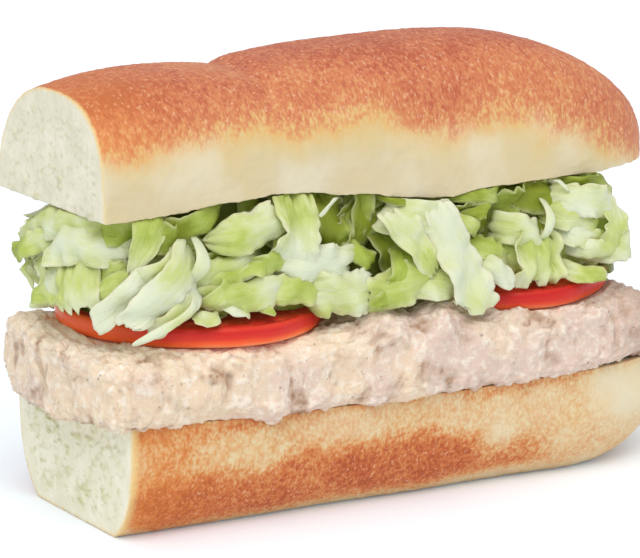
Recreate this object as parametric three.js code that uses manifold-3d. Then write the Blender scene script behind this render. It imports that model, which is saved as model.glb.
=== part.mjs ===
// A submarine sandwich, cut across at its left end: a bottom bread, tuna salad,
// two tomato slices, a heap of shredded iceberg lettuce and a domed top bread.
// Millimetres. X runs along the bread, Y across it with the shown side at -Y, Z up.
// The origin is the middle of the flat base that the bottom bread stands on.
import * as THREE from "three";
import { mergeVertices } from "three/addons/utils/BufferGeometryUtils.js";
import Module from "manifold-3d";

const wasm = await Module();
wasm.setup();

// Driving dimensions
const GAP = 0.3; // air between two pieces that lie on each other
const UNEVEN = 0.7; // how far a crust wanders from its plain form
const BASE = {
  cut: -88.5, // the flat cut face
  tip: 91.5, // the round baked end
  roundFrom: 52, // the end starts to taper here
  half: 33.6, // half its width
  high: 29, // least height of the sliced top
  lift: 0.00028, // how fast the top rises towards both ends
};
const CROWN = {
  cut: -91.5,
  tip: 88.5,
  roundFrom: 24, // its height starts to fall here
  narrowFrom: 36, // and its width here
  half: 31.5,
  middle: 6, // it sits a little towards the back
  under: 82, // height of its sliced underside
  firstTop: 116, // the small bulge beside the cut
  secondTop: 119.9, // the long bulge
  crease: -39.5, // the shallow fold between the two
};
const TUNA = {
  from: -99, // it sags a little past the cut
  squareTo: -90, // rounded off from here to the cut end
  roundFrom: 48, // and from here to the baked end
  to: 94.5,
  front: -37.5,
  back: 35.5,
  low: 27,
  high: 50.5,
  mound: 3.5, // pushed up between the two tomato slices
  slump: 0.5, // share of the height left at the baked end
  bigLump: 1.7,
  smallLump: 1.1,
};
const TOMATO = { radius: 34.8, thick: 5.2 };
const TOMATO_PLACES = [
  { x: -54.5, y: 0, z: 49.6, lean: 1.5, roll: 0.5 },
  { x: 37.5, y: 1, z: 50, lean: 2.5, roll: -1.5 },
];

// The heap of lettuce. Its outline, seen from above, is a box with round corners that
// spreads a little towards the bottom.
const HEAP = {
  left: -92,
  right: 78,
  front: -27.5,
  back: 32.5,
  frontCorner: 20,
  backCorner: 9,
  low: 53.5,
  middle: 68,
  high: 86,
  splay: 0.22,
  coreInset: 3.6,
};
// `at` is the way along that outline from the middle of the front, `up` the height of the
// shred's middle, `out` its distance from the outline, and `tuck` how much deeper its two
// ends lie. Angles are in degrees. `ends` is the share of the width left at both ends.
const PLAIN_SHRED = {
  out: 2,
  roll: -8,
  twist: 0,
  curl: 30,
  tuck: [7, 7],
  ruffle: 0.5,
  waves: 2,
  thick: 1.1,
  steps: 4,
  ends: [0.4, 0.4],
};
const SHOWN_SHREDS = [
  // round the corner of the cut end
  { at: -114, up: 77.5, long: 34, wide: 8.5, heading: 10, out: 3, curl: 60, roll: -20, ends: [0.7, 0.3], tuck: [2, 7] },
  { at: -124, up: 67.5, long: 26, wide: 9.5, heading: 8, out: 4, curl: 100, tuck: [3, 7], ends: [0.6, 0.5] },
  { at: -98, up: 73, long: 30, wide: 13, heading: 9, out: 3.5, curl: 70, roll: -25 },
  { at: -105, up: 65, long: 15, wide: 11, heading: 98, out: 3.5, ruffle: 1.6, waves: 1, ends: [0.8, 0.7] },
  { at: -113, up: 59, long: 20, wide: 6, heading: 8, out: 3, curl: 80, tuck: [3, 6], ends: [0.3, 0.5] },
  { at: -89, up: 78, long: 12, wide: 7, heading: -14, out: -1, curl: 10 },
  { at: -81, up: 75.5, long: 15, wide: 7.5, heading: 80, out: 2.5, curl: 40, ends: [0.35, 1] },
  { at: -67, up: 78.8, long: 26, wide: 6.5, heading: 15, out: 1, curl: 30, roll: 12 },
  // the broad pale blade whose fingers hang over the tomato
  { at: -75, up: 66, long: 30, wide: 8.5, heading: 47, out: 5, thick: 1.8, ends: [0.15, 0.5], curl: 24, tuck: [0, 9] },
  { at: -84, up: 63, long: 21, wide: 6, heading: 47, out: 4, thick: 1.8, ends: [0.6, 0.8], curl: 20, tuck: [0, 9], twist: 16 },
  { at: -76, up: 58, long: 17, wide: 2.6, heading: 39, out: 5.5, thick: 1.6, ends: [0.1, 0.6], tuck: [0.5, 9] },
  // folds over the left tomato
  { at: -58, up: 66.5, long: 27, wide: 8, heading: 25, out: 1, curl: 60, ruffle: 0.8 },
  { at: -54, up: 62, long: 26, wide: 7.5, heading: 13, out: 3, curl: 80 },
  { at: -52, up: 76, long: 21, wide: 11, heading: 22, out: 4.5, curl: 36, ends: [0.5, 0.9], twist: 30 },
  { at: -66, up: 57, long: 9.5, wide: 4.5, heading: -17, out: 3, roll: -60, curl: 20, ends: [0.5, 0.5], tuck: [1, 8] },
  // the upright leaves and the pale bowl in the middle
  { at: -34, up: 75, long: 19, wide: 9.5, heading: 88, out: 1.5, curl: 50, ruffle: 0.8, ends: [0.8, 0.9] },
  { at: -41, up: 75, long: 18, wide: 7.5, heading: 76, out: -0.5, curl: 20, ends: [0.8, 0.9] },
  { at: -33, up: 68, long: 23, wide: 9, heading: -6, out: 3.5, thick: 1.6, curl: 90 },
  { at: -29, up: 59.5, long: 19, wide: 9.5, heading: -11, out: 4, curl: 110, ends: [0.6, 0.6] },
  { at: -20, up: 67, long: 11, wide: 5.5, heading: -41, out: 1.5, curl: 90 },
  // the thick white rib that runs down to the right
  { at: -4, up: 75, long: 22, wide: 11, heading: -7, out: 4.5, thick: 2, curl: 30, ends: [0.8, 0.7] },
  { at: 9, up: 64.5, long: 30, wide: 8, heading: 109, out: 5, thick: 2.2, curl: 20, ends: [0.9, 0.7], tuck: [0, 8], twist: -24 },
  { at: -2, up: 64, long: 16, wide: 3.6, heading: 112, out: 4, thick: 1.8, ends: [0.6, 0.9] },
  { at: -9, up: 60.5, long: 17, wide: 8, heading: 52, out: 3, curl: 50, ruffle: 1.2, waves: 3 },
  { at: -3, up: 56.5, long: 18, wide: 7, heading: 14, out: 3.5, curl: 60, ruffle: 1, waves: 3 },
  // small curls between the rib and the right tomato
  { at: 15.5, up: 74, long: 9, wide: 5, heading: 17, out: 3, curl: 150, ends: [0.5, 0.5] },
  { at: 28, up: 69, long: 13, wide: 7.5, heading: -16, out: 3.5, thick: 1.6, ends: [0.8, 0.6] },
  { at: 22, up: 64, long: 18, wide: 7.5, heading: -30, out: 0.5, curl: 50 },
  { at: 35.5, up: 61, long: 15, wide: 8.5, heading: -5, out: 3, ruffle: 1.8, waves: 4, ends: [0.9, 0.8], steps: 8 },
  { at: 19, up: 60, long: 12, wide: 6.5, heading: -40, out: 4.5, thick: 1.5, curl: 40, ends: [0.6, 0.2], tuck: [9, 1] },
  { at: 48, up: 57.5, long: 13, wide: 6, heading: -25, out: 4, roll: -30, curl: 40, ends: [0.6, 0.5], tuck: [8, 2] },
  // the big ruffle at the round end
  { at: 49, up: 74, long: 27, wide: 9, heading: 8, out: 4, thick: 1.5, curl: 60, ruffle: 1.2 },
  { at: 61, up: 67, long: 19, wide: 8, heading: 92, out: 3, curl: 80, ruffle: 1.4, ends: [0.7, 0.8], twist: 30 },
  { at: 48, up: 66.5, long: 19, wide: 8, heading: 15, out: 1 },
  { at: 51, up: 62, long: 19, wide: 5, heading: -6, out: 3, curl: 50 },
  { at: 33, up: 78.5, long: 24, wide: 6.5, heading: 1, out: -1, curl: -30 },
  { at: 35, up: 72.5, long: 22, wide: 6, heading: -4, out: -1, curl: 40 },
  { at: 54, up: 79.5, long: 18, wide: 4.5, heading: -3, out: 1.5, roll: 10 },
];
// The round end and the back, which are alike all along, are filled by a rule.
const FILLING_SHREDS = {
  count: 14,
  seed: 20717,
  from: 92, // where the shown ones stop at the right
  to: 302, // and where they begin again at the left, round the back
  long: [17, 30],
  wide: [6, 10],
  heading: [-60, 60],
  up: [59, 77],
  out: [0.5, 3.5],
  curl: [0, 100],
  ruffle: [0.3, 1.4],
};

// Helpers
const clamp = (v, low, high) => Math.min(high, Math.max(low, v));
const mix = (a, b, t) => a + (b - a) * t;
const ease = (a, b, v) => {
  const t = clamp((v - a) / (b - a), 0, 1);
  return t * t * (3 - 2 * t);
};
const bend = (v, power) => Math.sign(v) * Math.abs(v) ** power;
const hump = (x, at, width) => Math.exp(-(((x - at) / width) ** 2));
const range = (count) => Array.from({ length: count }, (_, i) => i);

function lattice(i, j, k) {
  const h = Math.sin(i * 127.1 + j * 311.7 + k * 74.7) * 43758.5453;
  return h - Math.floor(h);
}

// Smooth uneven value from -1 to 1, with lumps about `size` across.
function lumps(x, y, z, size) {
  const [px, py, pz] = [x / size, y / size, z / size];
  const [i, j, k] = [px, py, pz].map(Math.floor);
  const [a, b, c] = [px - i, py - j, pz - k].map((t) => t * t * (3 - 2 * t));
  const edge = (dj, dk) => mix(lattice(i, j + dj, k + dk), lattice(i + 1, j + dj, k + dk), a);
  return mix(mix(edge(0, 0), edge(1, 0), b), mix(edge(0, 1), edge(1, 1), b), c) * 2 - 1;
}

// One closed surface through rings of points, with a fan over each end.
function skin(rings) {
  const around = rings[0].length;
  const points = rings.flat();
  const faces = [];
  const at = (i, j) => i * around + (j % around);
  for (let i = 0; i + 1 < rings.length; i++) {
    for (let j = 0; j < around; j++) {
      faces.push(at(i, j), at(i + 1, j), at(i + 1, j + 1));
      faces.push(at(i, j), at(i + 1, j + 1), at(i, j + 1));
    }
  }
  for (const end of [0, rings.length - 1]) {
    const middle = new THREE.Vector3();
    rings[end].forEach((p) => middle.addScaledVector(p, 1 / around));
    const hub = points.push(middle) - 1;
    for (let j = 0; j < around; j++) {
      const [a, b] = end ? [at(end, j + 1), at(end, j)] : [at(0, j), at(0, j + 1)];
      faces.push(hub, a, b);
    }
  }
  const geometry = new THREE.BufferGeometry().setFromPoints(points);
  geometry.setIndex(faces);
  return geometry;
}

function solidOf(positions, indices) {
  const mesh = new wasm.Mesh({
    numProp: 3,
    vertProperties: new Float32Array(positions),
    triVerts: new Uint32Array(indices),
  });
  return new wasm.Manifold(mesh);
}

// A solid from a closed geometry, turned right side out if its faces point inwards.
function toSolid(geometry) {
  const bare = geometry.clone();
  bare.deleteAttribute("normal");
  bare.deleteAttribute("uv");
  const merged = mergeVertices(bare, 1e-4);
  const indices = [...merged.index.array];
  const solid = solidOf(merged.attributes.position.array, indices);
  return solid.volume() > 0 ? solid : solidOf(merged.attributes.position.array, indices.reverse());
}

// The largest closed body of a solid, with no loose scraps and no sealed hollows.
function wholeBody(solid) {
  return solid.decompose().reduce((a, b) => (b.volume() > a.volume() ? b : a));
}

function toGeometry(solid) {
  const mesh = solid.getMesh();
  const position = new Float32Array(mesh.numVert * 3);
  for (let i = 0; i < mesh.numVert; i++) {
    position.set(mesh.vertProperties.subarray(i * mesh.numProp, i * mesh.numProp + 3), i * 3);
  }
  const geometry = new THREE.BufferGeometry();
  geometry.setAttribute("position", new THREE.BufferAttribute(position, 3));
  geometry.setIndex(new THREE.BufferAttribute(new Uint32Array(mesh.triVerts), 1));
  geometry.computeVertexNormals();
  return geometry;
}

// Stations along a loaf: even on the straight part, closer together round the end.
function stations(loaf, straight, round) {
  const along = range(straight).map((i) => mix(loaf.cut, loaf.roundFrom, i / straight));
  const end = range(round + 1).map((i) => {
    return mix(loaf.roundFrom, loaf.tip, Math.sin((i / round) * Math.PI * 0.495));
  });
  return [...along, ...end];
}

// A loaf from its rings. Its two ends grow along with its sides.
function loaf(xs, ring, grow) {
  const rings = xs.map((x) => ring(x, grow));
  rings[0].forEach((p) => (p.x -= grow));
  rings.at(-1).forEach((p) => (p.x += grow));
  return toSolid(skin(rings));
}

const taper = (x, from, to, power) => {
  const t = clamp((x - from) / (to - from), 0, 1);
  return Math.max(1 - t ** power, 0) ** (1 / power);
};

// Points across a flat sliced side, between its two edges.
function slicedSide(x, middle, half, z) {
  const across = 4;
  return range(across - 1).map((j) => {
    return new THREE.Vector3(x, middle + half * (1 - (2 * (j + 1)) / across), z);
  });
}

// Bottom bread
const baseTop = (x) => BASE.high + BASE.lift * x * x;

function baseRing(x, grow) {
  const t = taper(x, BASE.roundFrom, BASE.tip, 2.3);
  const half = BASE.half * t + grow;
  const top = baseTop(x) + grow;
  const deep = (top + grow) * 1.12; // a little too deep, so that the underside comes out flat
  const arcSteps = 18;
  const arc = range(arcSteps + 1).map((i) => {
    const turn = (i / arcSteps) * Math.PI;
    const y = -half * bend(Math.cos(turn), 2 / 3);
    const sag = deep * t * Math.sin(turn) ** (2 / 3);
    const uneven = UNEVEN * lumps(x, 28 * turn, 3, 26) * Math.sin(turn) ** 0.5 * t;
    return new THREE.Vector3(x, y + Math.sign(y) * uneven, Math.max(top - sag, -grow));
  });
  return [...arc, ...slicedSide(x, 0, half, top)];
}

const bottomBread = (grow = 0) => loaf(stations(BASE, 16, 10), baseRing, grow);

// Top bread: a long dome with a shallow crease near the cut end. Its underside arches over
// the lettuce near the cut and dips a little past the middle.
const crownUnder = (x) => CROWN.under + 3.4 * hump(x, -44, 26) - 1.8 * hump(x, 8, 14);

function crownHigh(x) {
  const first = CROWN.firstTop - 0.0045 * (x + 64) ** 2 * (x < -64 ? 1.25 : 0.6);
  const second = CROWN.secondTop - 0.0016 * (x - 12) ** 2;
  const top = mix(first, second, ease(CROWN.crease - 3, CROWN.crease + 4, x));
  const pinch = 0.9 * hump(x, CROWN.crease, 4);
  return (top - pinch - crownUnder(x)) * taper(x, CROWN.roundFrom, CROWN.tip, 2.4);
}

function crownRing(x, grow) {
  const half = CROWN.half * taper(x, CROWN.narrowFrom, CROWN.tip, 2.1) + grow;
  const high = crownHigh(x) + grow;
  const under = crownUnder(x) - grow;
  const arcSteps = 21;
  const arc = range(arcSteps + 1).map((i) => {
    const turn = (i / arcSteps) * Math.PI;
    const power = turn < Math.PI / 2 ? 0.64 : 0.9; // squarer in front than behind
    const y = -half * bend(Math.cos(turn), power);
    const z = high * Math.sin(turn) ** power;
    const uneven = UNEVEN * lumps(x, 30 * turn, 9, 24) * Math.sin(turn) ** 0.5;
    return new THREE.Vector3(x, CROWN.middle + y + (uneven * y) / half, under + z + uneven);
  });
  return [...arc, ...slicedSide(x, CROWN.middle, half, under)];
}

const topBread = (grow = 0) => loaf(stations(CROWN, 17, 13), crownRing, grow);

// Tomato slice: a disc with a rounded skin rim
function tomatoSlice(place, grow = 0) {
  const r = TOMATO.radius + grow;
  const h = TOMATO.thick / 2 + grow;
  const rimRound = 1.4;
  const rimSteps = 4;
  const rim = range(rimSteps + 1).map((i) => {
    const turn = mix(-Math.PI / 2, Math.PI / 2, i / rimSteps);
    return new THREE.Vector2(r - rimRound * (1 - Math.cos(turn)), h * bend(Math.sin(turn), 0.6));
  });
  const profile = [new THREE.Vector2(0, -h), ...rim, new THREE.Vector2(0, h)];
  const disc = new THREE.LatheGeometry(profile, 32).rotateX(Math.PI / 2);
  disc.rotateX(THREE.MathUtils.degToRad(place.lean));
  disc.rotateY(THREE.MathUtils.degToRad(place.roll));
  disc.translate(place.x, place.y, place.z + TOMATO.thick / 2);
  return toSolid(disc);
}

// Tuna salad: a lumpy slab that bulges past the bread all round
function tunaRing(x, grow) {
  const bakedEnd = taper(x, TUNA.roundFrom, TUNA.to, 2.4);
  const cutEnd = taper(-x, -TUNA.squareTo, -TUNA.from, 2);
  const middleY = (TUNA.front + TUNA.back) / 2;
  const half = ((TUNA.back - TUNA.front) / 2) * bakedEnd * cutEnd;
  const full = TUNA.high + TUNA.mound * hump(x, -9, 12) - TUNA.low;
  const high = (full / 2) * mix(TUNA.slump, 1, bakedEnd) * mix(0.8, 1, cutEnd);
  const middleZ = TUNA.low + high;
  const steps = 28;
  return range(steps).map((i) => {
    const turn = (i / steps) * Math.PI * 2;
    const y = half * bend(Math.cos(turn), 0.6);
    const z = high * bend(Math.sin(turn), 0.6);
    const uneven = TUNA.bigLump * lumps(x, y, z, 15) + TUNA.smallLump * lumps(x + 40, y, z, 7);
    const push = uneven + grow;
    const length = Math.hypot(y, z) || 1;
    return new THREE.Vector3(x, middleY + y + (y / length) * push, middleZ + z + (z / length) * push);
  });
}

function tunaSalad(grow = 0) {
  const slices = 34;
  const xs = range(slices + 1).map((i) => {
    return mix(TUNA.from, TUNA.to, 0.5 + 0.5008 * Math.sin(((2 * i) / slices - 1) * 1.51));
  });
  return loaf(xs, tunaRing, grow);
}

// Lettuce: a place on the heap's outline, `past` the end of the straight front
const quarterOf = (radius) => (Math.PI / 2) * radius;
const heapSide = HEAP.back - HEAP.front - HEAP.frontCorner - HEAP.backCorner;
const heapEnd = quarterOf(HEAP.frontCorner) + heapSide + quarterOf(HEAP.backCorner);
const heapRight = HEAP.right - HEAP.frontCorner;
const heapLeft = HEAP.left + HEAP.frontCorner;
const heapBackLength = HEAP.right - HEAP.left - 2 * HEAP.backCorner;
const heapLap = heapRight - heapLeft + 2 * heapEnd + heapBackLength;

function roundTheEnd(past, turnsAt, way) {
  const [near, far] = [HEAP.frontCorner, HEAP.backCorner];
  if (past < quarterOf(near)) {
    const [sin, cos] = [Math.sin(past / near), Math.cos(past / near)];
    return { x: turnsAt + way * near * sin, y: HEAP.front + near - near * cos, nx: way * sin, ny: -cos };
  }
  const beside = past - quarterOf(near);
  if (beside < heapSide) {
    return { x: turnsAt + way * near, y: HEAP.front + near + beside, nx: way, ny: 0 };
  }
  const corner = beside - heapSide;
  const backTurn = turnsAt + way * (near - far);
  if (corner < quarterOf(far)) {
    const [sin, cos] = [Math.sin(corner / far), Math.cos(corner / far)];
    return { x: backTurn + way * far * cos, y: HEAP.back - far + far * sin, nx: way * cos, ny: sin };
  }
  return { x: backTurn - way * (corner - quarterOf(far)), y: HEAP.back, nx: 0, ny: 1 };
}

function heapEdge(at) {
  const lapEnd = (heapLeft + heapRight + heapLap) / 2;
  const along = at > lapEnd ? at - heapLap : at;
  if (along > heapRight) return roundTheEnd(along - heapRight, heapRight, 1);
  if (along < heapLeft) return roundTheEnd(heapLeft - along, heapLeft, -1);
  return { x: along, y: HEAP.front, nx: 0, ny: -1 };
}

function heapPoint(at, up, out) {
  const edge = heapEdge(at);
  const reach = out + HEAP.splay * (HEAP.middle - up);
  return new THREE.Vector3(edge.x + edge.nx * reach, edge.y + edge.ny * reach, up);
}

// The middle of a shred's thickness. t runs along it from 0 to 1, v across from -1 to 1.
function shredPoint(shred, t, v) {
  const heading = THREE.MathUtils.degToRad(shred.heading);
  const along = (t - 0.5) * shred.long;
  const at = shred.at + along * Math.cos(heading);
  const up = shred.up + along * Math.sin(heading);
  const half = t < 0.5 ? 0 : 1;
  const middle = heapPoint(at, up, shred.out - shred.tuck[half] * (2 * t - 1) ** 2);
  const edge = heapEdge(at);
  const outward = new THREE.Vector3(edge.nx, edge.ny, 0);
  const across = new THREE.Vector3(edge.ny * Math.sin(heading), -edge.nx * Math.sin(heading), Math.cos(heading));
  const roll = THREE.MathUtils.degToRad(shred.roll + shred.twist * (t - 0.5));
  const round = Math.sqrt(Math.max(1 - (2 * t - 1) ** 2, 0));
  const wide = shred.wide * mix(shred.ends[half], 1, round);
  const curl = Math.max(Math.abs(THREE.MathUtils.degToRad(shred.curl)), 0.01);
  const radius = wide / curl;
  const side = radius * Math.sin((v * curl) / 2);
  const wave = shred.ruffle * Math.abs(v) ** 1.5 * Math.sin(2 * Math.PI * shred.waves * t + 2 * (v > 0));
  const back = Math.sign(shred.curl) * radius * (1 - Math.cos((v * curl) / 2)) - wave;
  middle.addScaledVector(across, side * Math.cos(roll) + back * Math.sin(roll));
  return middle.addScaledVector(outward, side * Math.sin(roll) - back * Math.cos(roll));
}

// A thin wavy strip. Both faces are split into triangles alike.
function shredSolid(shown) {
  const shred = { ...PLAIN_SHRED, ...shown };
  const [lengthwise, crosswise] = [shred.steps, 2];
  const step = 0.02;
  const rings = range(lengthwise + 1).map((i) => {
    const t = i / lengthwise;
    const row = range(crosswise + 1).map((j) => {
      const v = (2 * j) / crosswise - 1;
      const point = shredPoint(shred, t, v);
      const lengthways = shredPoint(shred, t + step, v).sub(shredPoint(shred, t - step, v));
      const sideways = shredPoint(shred, t, v + step).sub(shredPoint(shred, t, v - step));
      const normal = lengthways.cross(sideways).normalize().multiplyScalar(shred.thick / 2);
      return [point.clone().add(normal), point.clone().sub(normal)];
    });
    return [...row.map((pair) => pair[0]), ...row.map((pair) => pair[1]).reverse()];
  });
  return strip(rings, crosswise + 1);
}

function strip(rings, width) {
  const around = 2 * width;
  const positions = rings.flat().flatMap((p) => [p.x, p.y, p.z]);
  const faces = [];
  const at = (i, j) => i * around + (j % around);
  const under = (j) => around - 1 - j;
  const quad = (a, b, c, d) => faces.push(a, b, c, a, c, d);
  for (let i = 0; i + 1 < rings.length; i++) {
    for (let j = 0; j + 1 < width; j++) {
      quad(at(i, j), at(i + 1, j), at(i + 1, j + 1), at(i, j + 1));
      faces.push(at(i, under(j)), at(i + 1, under(j + 1)), at(i + 1, under(j)));
      faces.push(at(i, under(j)), at(i, under(j + 1)), at(i + 1, under(j + 1)));
    }
    for (const j of [width - 1, around - 1]) {
      quad(at(i, j), at(i + 1, j), at(i + 1, j + 1), at(i, j + 1));
    }
  }
  const last = rings.length - 1;
  for (let j = 0; j + 1 < width; j++) {
    quad(at(0, j), at(0, j + 1), at(0, under(j + 1)), at(0, under(j)));
    quad(at(last, j + 1), at(last, j), at(last, under(j)), at(last, under(j + 1)));
  }
  const solid = solidOf(positions, faces);
  return solid.volume() > 0 ? solid : solidOf(positions, faces.reverse());
}

// Shares from 0 to 1, drawn by a fixed rule
function* shares(seed) {
  const modulus = 2147483647;
  let state = seed;
  while (true) {
    state = (state * 16807) % modulus;
    yield state / modulus;
  }
}

function fillingShreds() {
  const rule = FILLING_SHREDS;
  const share = shares(rule.seed);
  const draw = ([low, high]) => mix(low, high, share.next().value);
  return range(rule.count).map((i) => ({
    at: mix(rule.from, rule.to, (i + 0.2 + 0.6 * share.next().value) / rule.count),
    up: draw(rule.up),
    long: draw(rule.long),
    wide: draw(rule.wide),
    heading: draw(rule.heading),
    out: draw(rule.out),
    curl: draw(rule.curl),
    ruffle: draw(rule.ruffle),
  }));
}

function heapCore() {
  const ringSteps = 36;
  const levels = [HEAP.low, 62, 72, HEAP.high];
  const rings = levels.map((z) =>
    range(ringSteps).map((i) => {
      const at = (i / ringSteps) * heapLap;
      const out = -HEAP.coreInset + 1.6 * lumps(at, z, 5, 11);
      return heapPoint(at, z, out);
    }),
  );
  return toSolid(skin(rings));
}

function lettuceHeap() {
  const shreds = [...SHOWN_SHREDS, ...fillingShreds()].map(shredSolid);
  let heap = wasm.Manifold.union([heapCore(), ...shreds]);
  heap = heap.subtract(topBread(GAP)).subtract(tunaSalad(GAP));
  TOMATO_PLACES.forEach((place) => {
    heap = heap.subtract(tomatoSlice(place, GAP));
  });
  return heap;
}

function tunaUnderTomatoes() {
  let tuna = tunaSalad().subtract(bottomBread(GAP));
  TOMATO_PLACES.forEach((place) => {
    tuna = tuna.subtract(tomatoSlice(place, GAP));
  });
  return tuna;
}

const sandwich = new THREE.Group();
function piece(name, solid, color, roughness) {
  const mesh = new THREE.Mesh(
    toGeometry(wholeBody(solid)),
    new THREE.MeshStandardMaterial({ color, roughness, metalness: 0 }),
  );
  mesh.name = name;
  sandwich.add(mesh);
}
piece("bread_bottom", bottomBread(), 0xe0a468, 0.75);
piece("tuna_salad", tunaUnderTomatoes(), 0xe3cbb4, 0.5);
piece("tomato_slice_left", tomatoSlice(TOMATO_PLACES[0]), 0xd0331f, 0.3);
piece("tomato_slice_right", tomatoSlice(TOMATO_PLACES[1]), 0xd0331f, 0.3);
piece("lettuce_shreds", lettuceHeap(), 0xc5dc8c, 0.45);
piece("bread_top", topBread(), 0xd2854f, 0.7);

export default sandwich;
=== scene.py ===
# %% [markdown]
# # A submarine sandwich
# This lesson gives a filled roll, cut across at its left end, the looks of the real one.
# A plain model already holds every size. It is loaded first and is never moved or changed.
# All pieces are made in the same frame: X runs along the roll, Y towards the back, Z up.

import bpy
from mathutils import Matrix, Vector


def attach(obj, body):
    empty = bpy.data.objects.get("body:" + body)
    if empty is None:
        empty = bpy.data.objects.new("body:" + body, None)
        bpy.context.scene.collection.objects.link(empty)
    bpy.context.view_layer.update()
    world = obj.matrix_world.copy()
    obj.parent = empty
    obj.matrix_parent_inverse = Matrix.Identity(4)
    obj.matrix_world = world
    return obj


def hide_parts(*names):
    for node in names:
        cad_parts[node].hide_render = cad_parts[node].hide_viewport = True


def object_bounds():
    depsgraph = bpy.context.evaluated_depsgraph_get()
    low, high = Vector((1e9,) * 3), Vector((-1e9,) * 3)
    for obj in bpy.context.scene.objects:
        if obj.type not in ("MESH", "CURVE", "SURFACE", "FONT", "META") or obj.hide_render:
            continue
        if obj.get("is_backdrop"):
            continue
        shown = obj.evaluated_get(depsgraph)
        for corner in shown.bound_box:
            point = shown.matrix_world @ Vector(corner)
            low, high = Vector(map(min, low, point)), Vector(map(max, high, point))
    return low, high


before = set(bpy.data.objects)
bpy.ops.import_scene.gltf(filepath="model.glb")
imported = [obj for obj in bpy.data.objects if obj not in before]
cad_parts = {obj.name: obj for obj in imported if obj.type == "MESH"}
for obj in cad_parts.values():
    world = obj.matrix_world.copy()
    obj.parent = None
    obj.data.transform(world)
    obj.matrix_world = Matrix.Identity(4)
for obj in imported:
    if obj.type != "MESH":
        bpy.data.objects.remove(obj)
plain_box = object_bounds()
print("plain nodes:", sorted(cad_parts))

# %% [markdown]
# Food is measured in millimetres, so every sum below works in millimetres, and a mesh is
# brought to metres when it is made. numpy does a sum for thousands of points at once.

# %% Sums that every piece uses
import math

import bpy
import numpy as np
from mathutils import Vector

MM = 0.001


def mix(a, b, share):
    return a + (b - a) * share


def ease(start, end, v):
    t = np.clip((v - start) / (end - start), 0, 1)
    return t * t * (3 - 2 * t)


def bend(v, power):
    return np.sign(v) * np.abs(v) ** power


def hump(x, at, width):
    return np.exp(-(((x - at) / width) ** 2))


def taper(x, start, end, power):
    t = np.clip((x - start) / (end - start), 0, 1)
    return np.maximum(1 - t**power, 0) ** (1 / power)


# %% [markdown]
# Nothing baked, mashed or grown is even. `lumps` is a smooth random height from -1 to 1 with
# bumps about `size` apart. It always gives the same bump at the same place, so two pieces
# that use it fit each other and a second run gives the same sandwich.

# %% Uneven heights
def lattice(i, j, k):
    h = np.sin(i * 127.1 + j * 311.7 + k * 74.7) * 43758.5453
    return h - np.floor(h)


def lumps(x, y, z, size):
    place = np.broadcast_arrays(*(np.asarray(v, float) / size for v in (x, y, z)))
    i, j, k = (np.floor(p) for p in place)
    a, b, c = (t * t * (3 - 2 * t) for t in (p - np.floor(p) for p in place))

    def edge(dj, dk):
        return mix(lattice(i, j + dj, k + dk), lattice(i + 1, j + dj, k + dk), a)

    return mix(mix(edge(0, 0), edge(1, 0), b), mix(edge(0, 1), edge(1, 1), b), c) * 2 - 1


# %% [markdown]
# A loaf, a mash and a slice of tomato are all closed skins, so one helper makes them: rows of
# points that each go round once, joined by squares, with a fan over the first and last row.
# Which way round decides if the faces look out or in, and they have to look out everywhere.
# Numbers kept at each point, such as how brown it is, go with the mesh to its material.

# %% Closed skins from rows of points
def skin_faces(rows, around):
    i, j = np.meshgrid(np.arange(rows - 1), np.arange(around), indexing="ij")
    a = i * around + j
    b = i * around + (j + 1) % around
    squares = np.stack([a, a + around, b + around, b], -1).reshape(-1, 4).tolist()
    first, last = rows * around, rows * around + 1
    pairs = [(j, (j + 1) % around) for j in range(around)]
    start = [(first, j, k) for j, k in pairs]
    end_row = (rows - 1) * around
    return squares + start + [(last, end_row + k, end_row + j) for j, k in pairs]


def make_piece(name, points, faces, finish, numbers=None):
    mesh = bpy.data.meshes.new(name)
    mesh.from_pydata((np.asarray(points) * MM).tolist(), [], faces)
    for key, values in (numbers or {}).items():
        kept = mesh.attributes.new(key, "FLOAT", "POINT")
        kept.data.foreach_set("value", np.asarray(values, np.float32).ravel())
    mesh.shade_smooth()
    mesh.materials.append(finish)
    piece = bpy.data.objects.new(name, mesh)
    bpy.context.scene.collection.objects.link(piece)
    print(name, "has", sum(len(face) - 2 for face in faces), "triangles")
    return piece


def skin_piece(name, rows, finish, numbers, clockwise=False):
    """rows is an array of rows by points by 3, and each array of numbers has rows by points.

    The faces look outwards if the points go round clockwise, seen from the last row. Rows
    that go the other way are turned round first.
    """
    if not clockwise:
        rows = rows[:, ::-1]
        numbers = {key: values[:, ::-1] for key, values in numbers.items()}
    hubs = np.stack([rows[0].mean(0), rows[-1].mean(0)])
    points = np.concatenate([rows.reshape(-1, 3), hubs])
    ends = {key: [v[0].mean(), v[-1].mean()] for key, v in numbers.items()}
    numbers = {key: np.concatenate([v.ravel(), ends[key]]) for key, v in numbers.items()}
    return make_piece(name, points, skin_faces(*rows.shape[:2]), finish, numbers)


def points_of(piece):
    flat = np.empty(len(piece.data.vertices) * 3)
    piece.data.vertices.foreach_get("co", flat)
    return flat.reshape(-1, 3) / MM


def set_points(piece, points):
    piece.data.vertices.foreach_set("co", (points * MM).ravel())
    piece.data.update()


def normals_of(piece):
    flat = np.empty(len(piece.data.vertices) * 3)
    piece.data.vertex_normals.foreach_get("vector", flat)
    return flat.reshape(-1, 3)


def belongs(piece, node):
    """The piece takes the place of that plain node, and goes where the sandwich goes."""
    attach(piece, "root")
    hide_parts(node)


# %% [markdown]
# A material is a small tree of nodes. `Wire` is one output of a node, and a sum on wires,
# such as `1 - mask`, adds the Math nodes it needs. `Recipe` adds any other kind of node.

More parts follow.
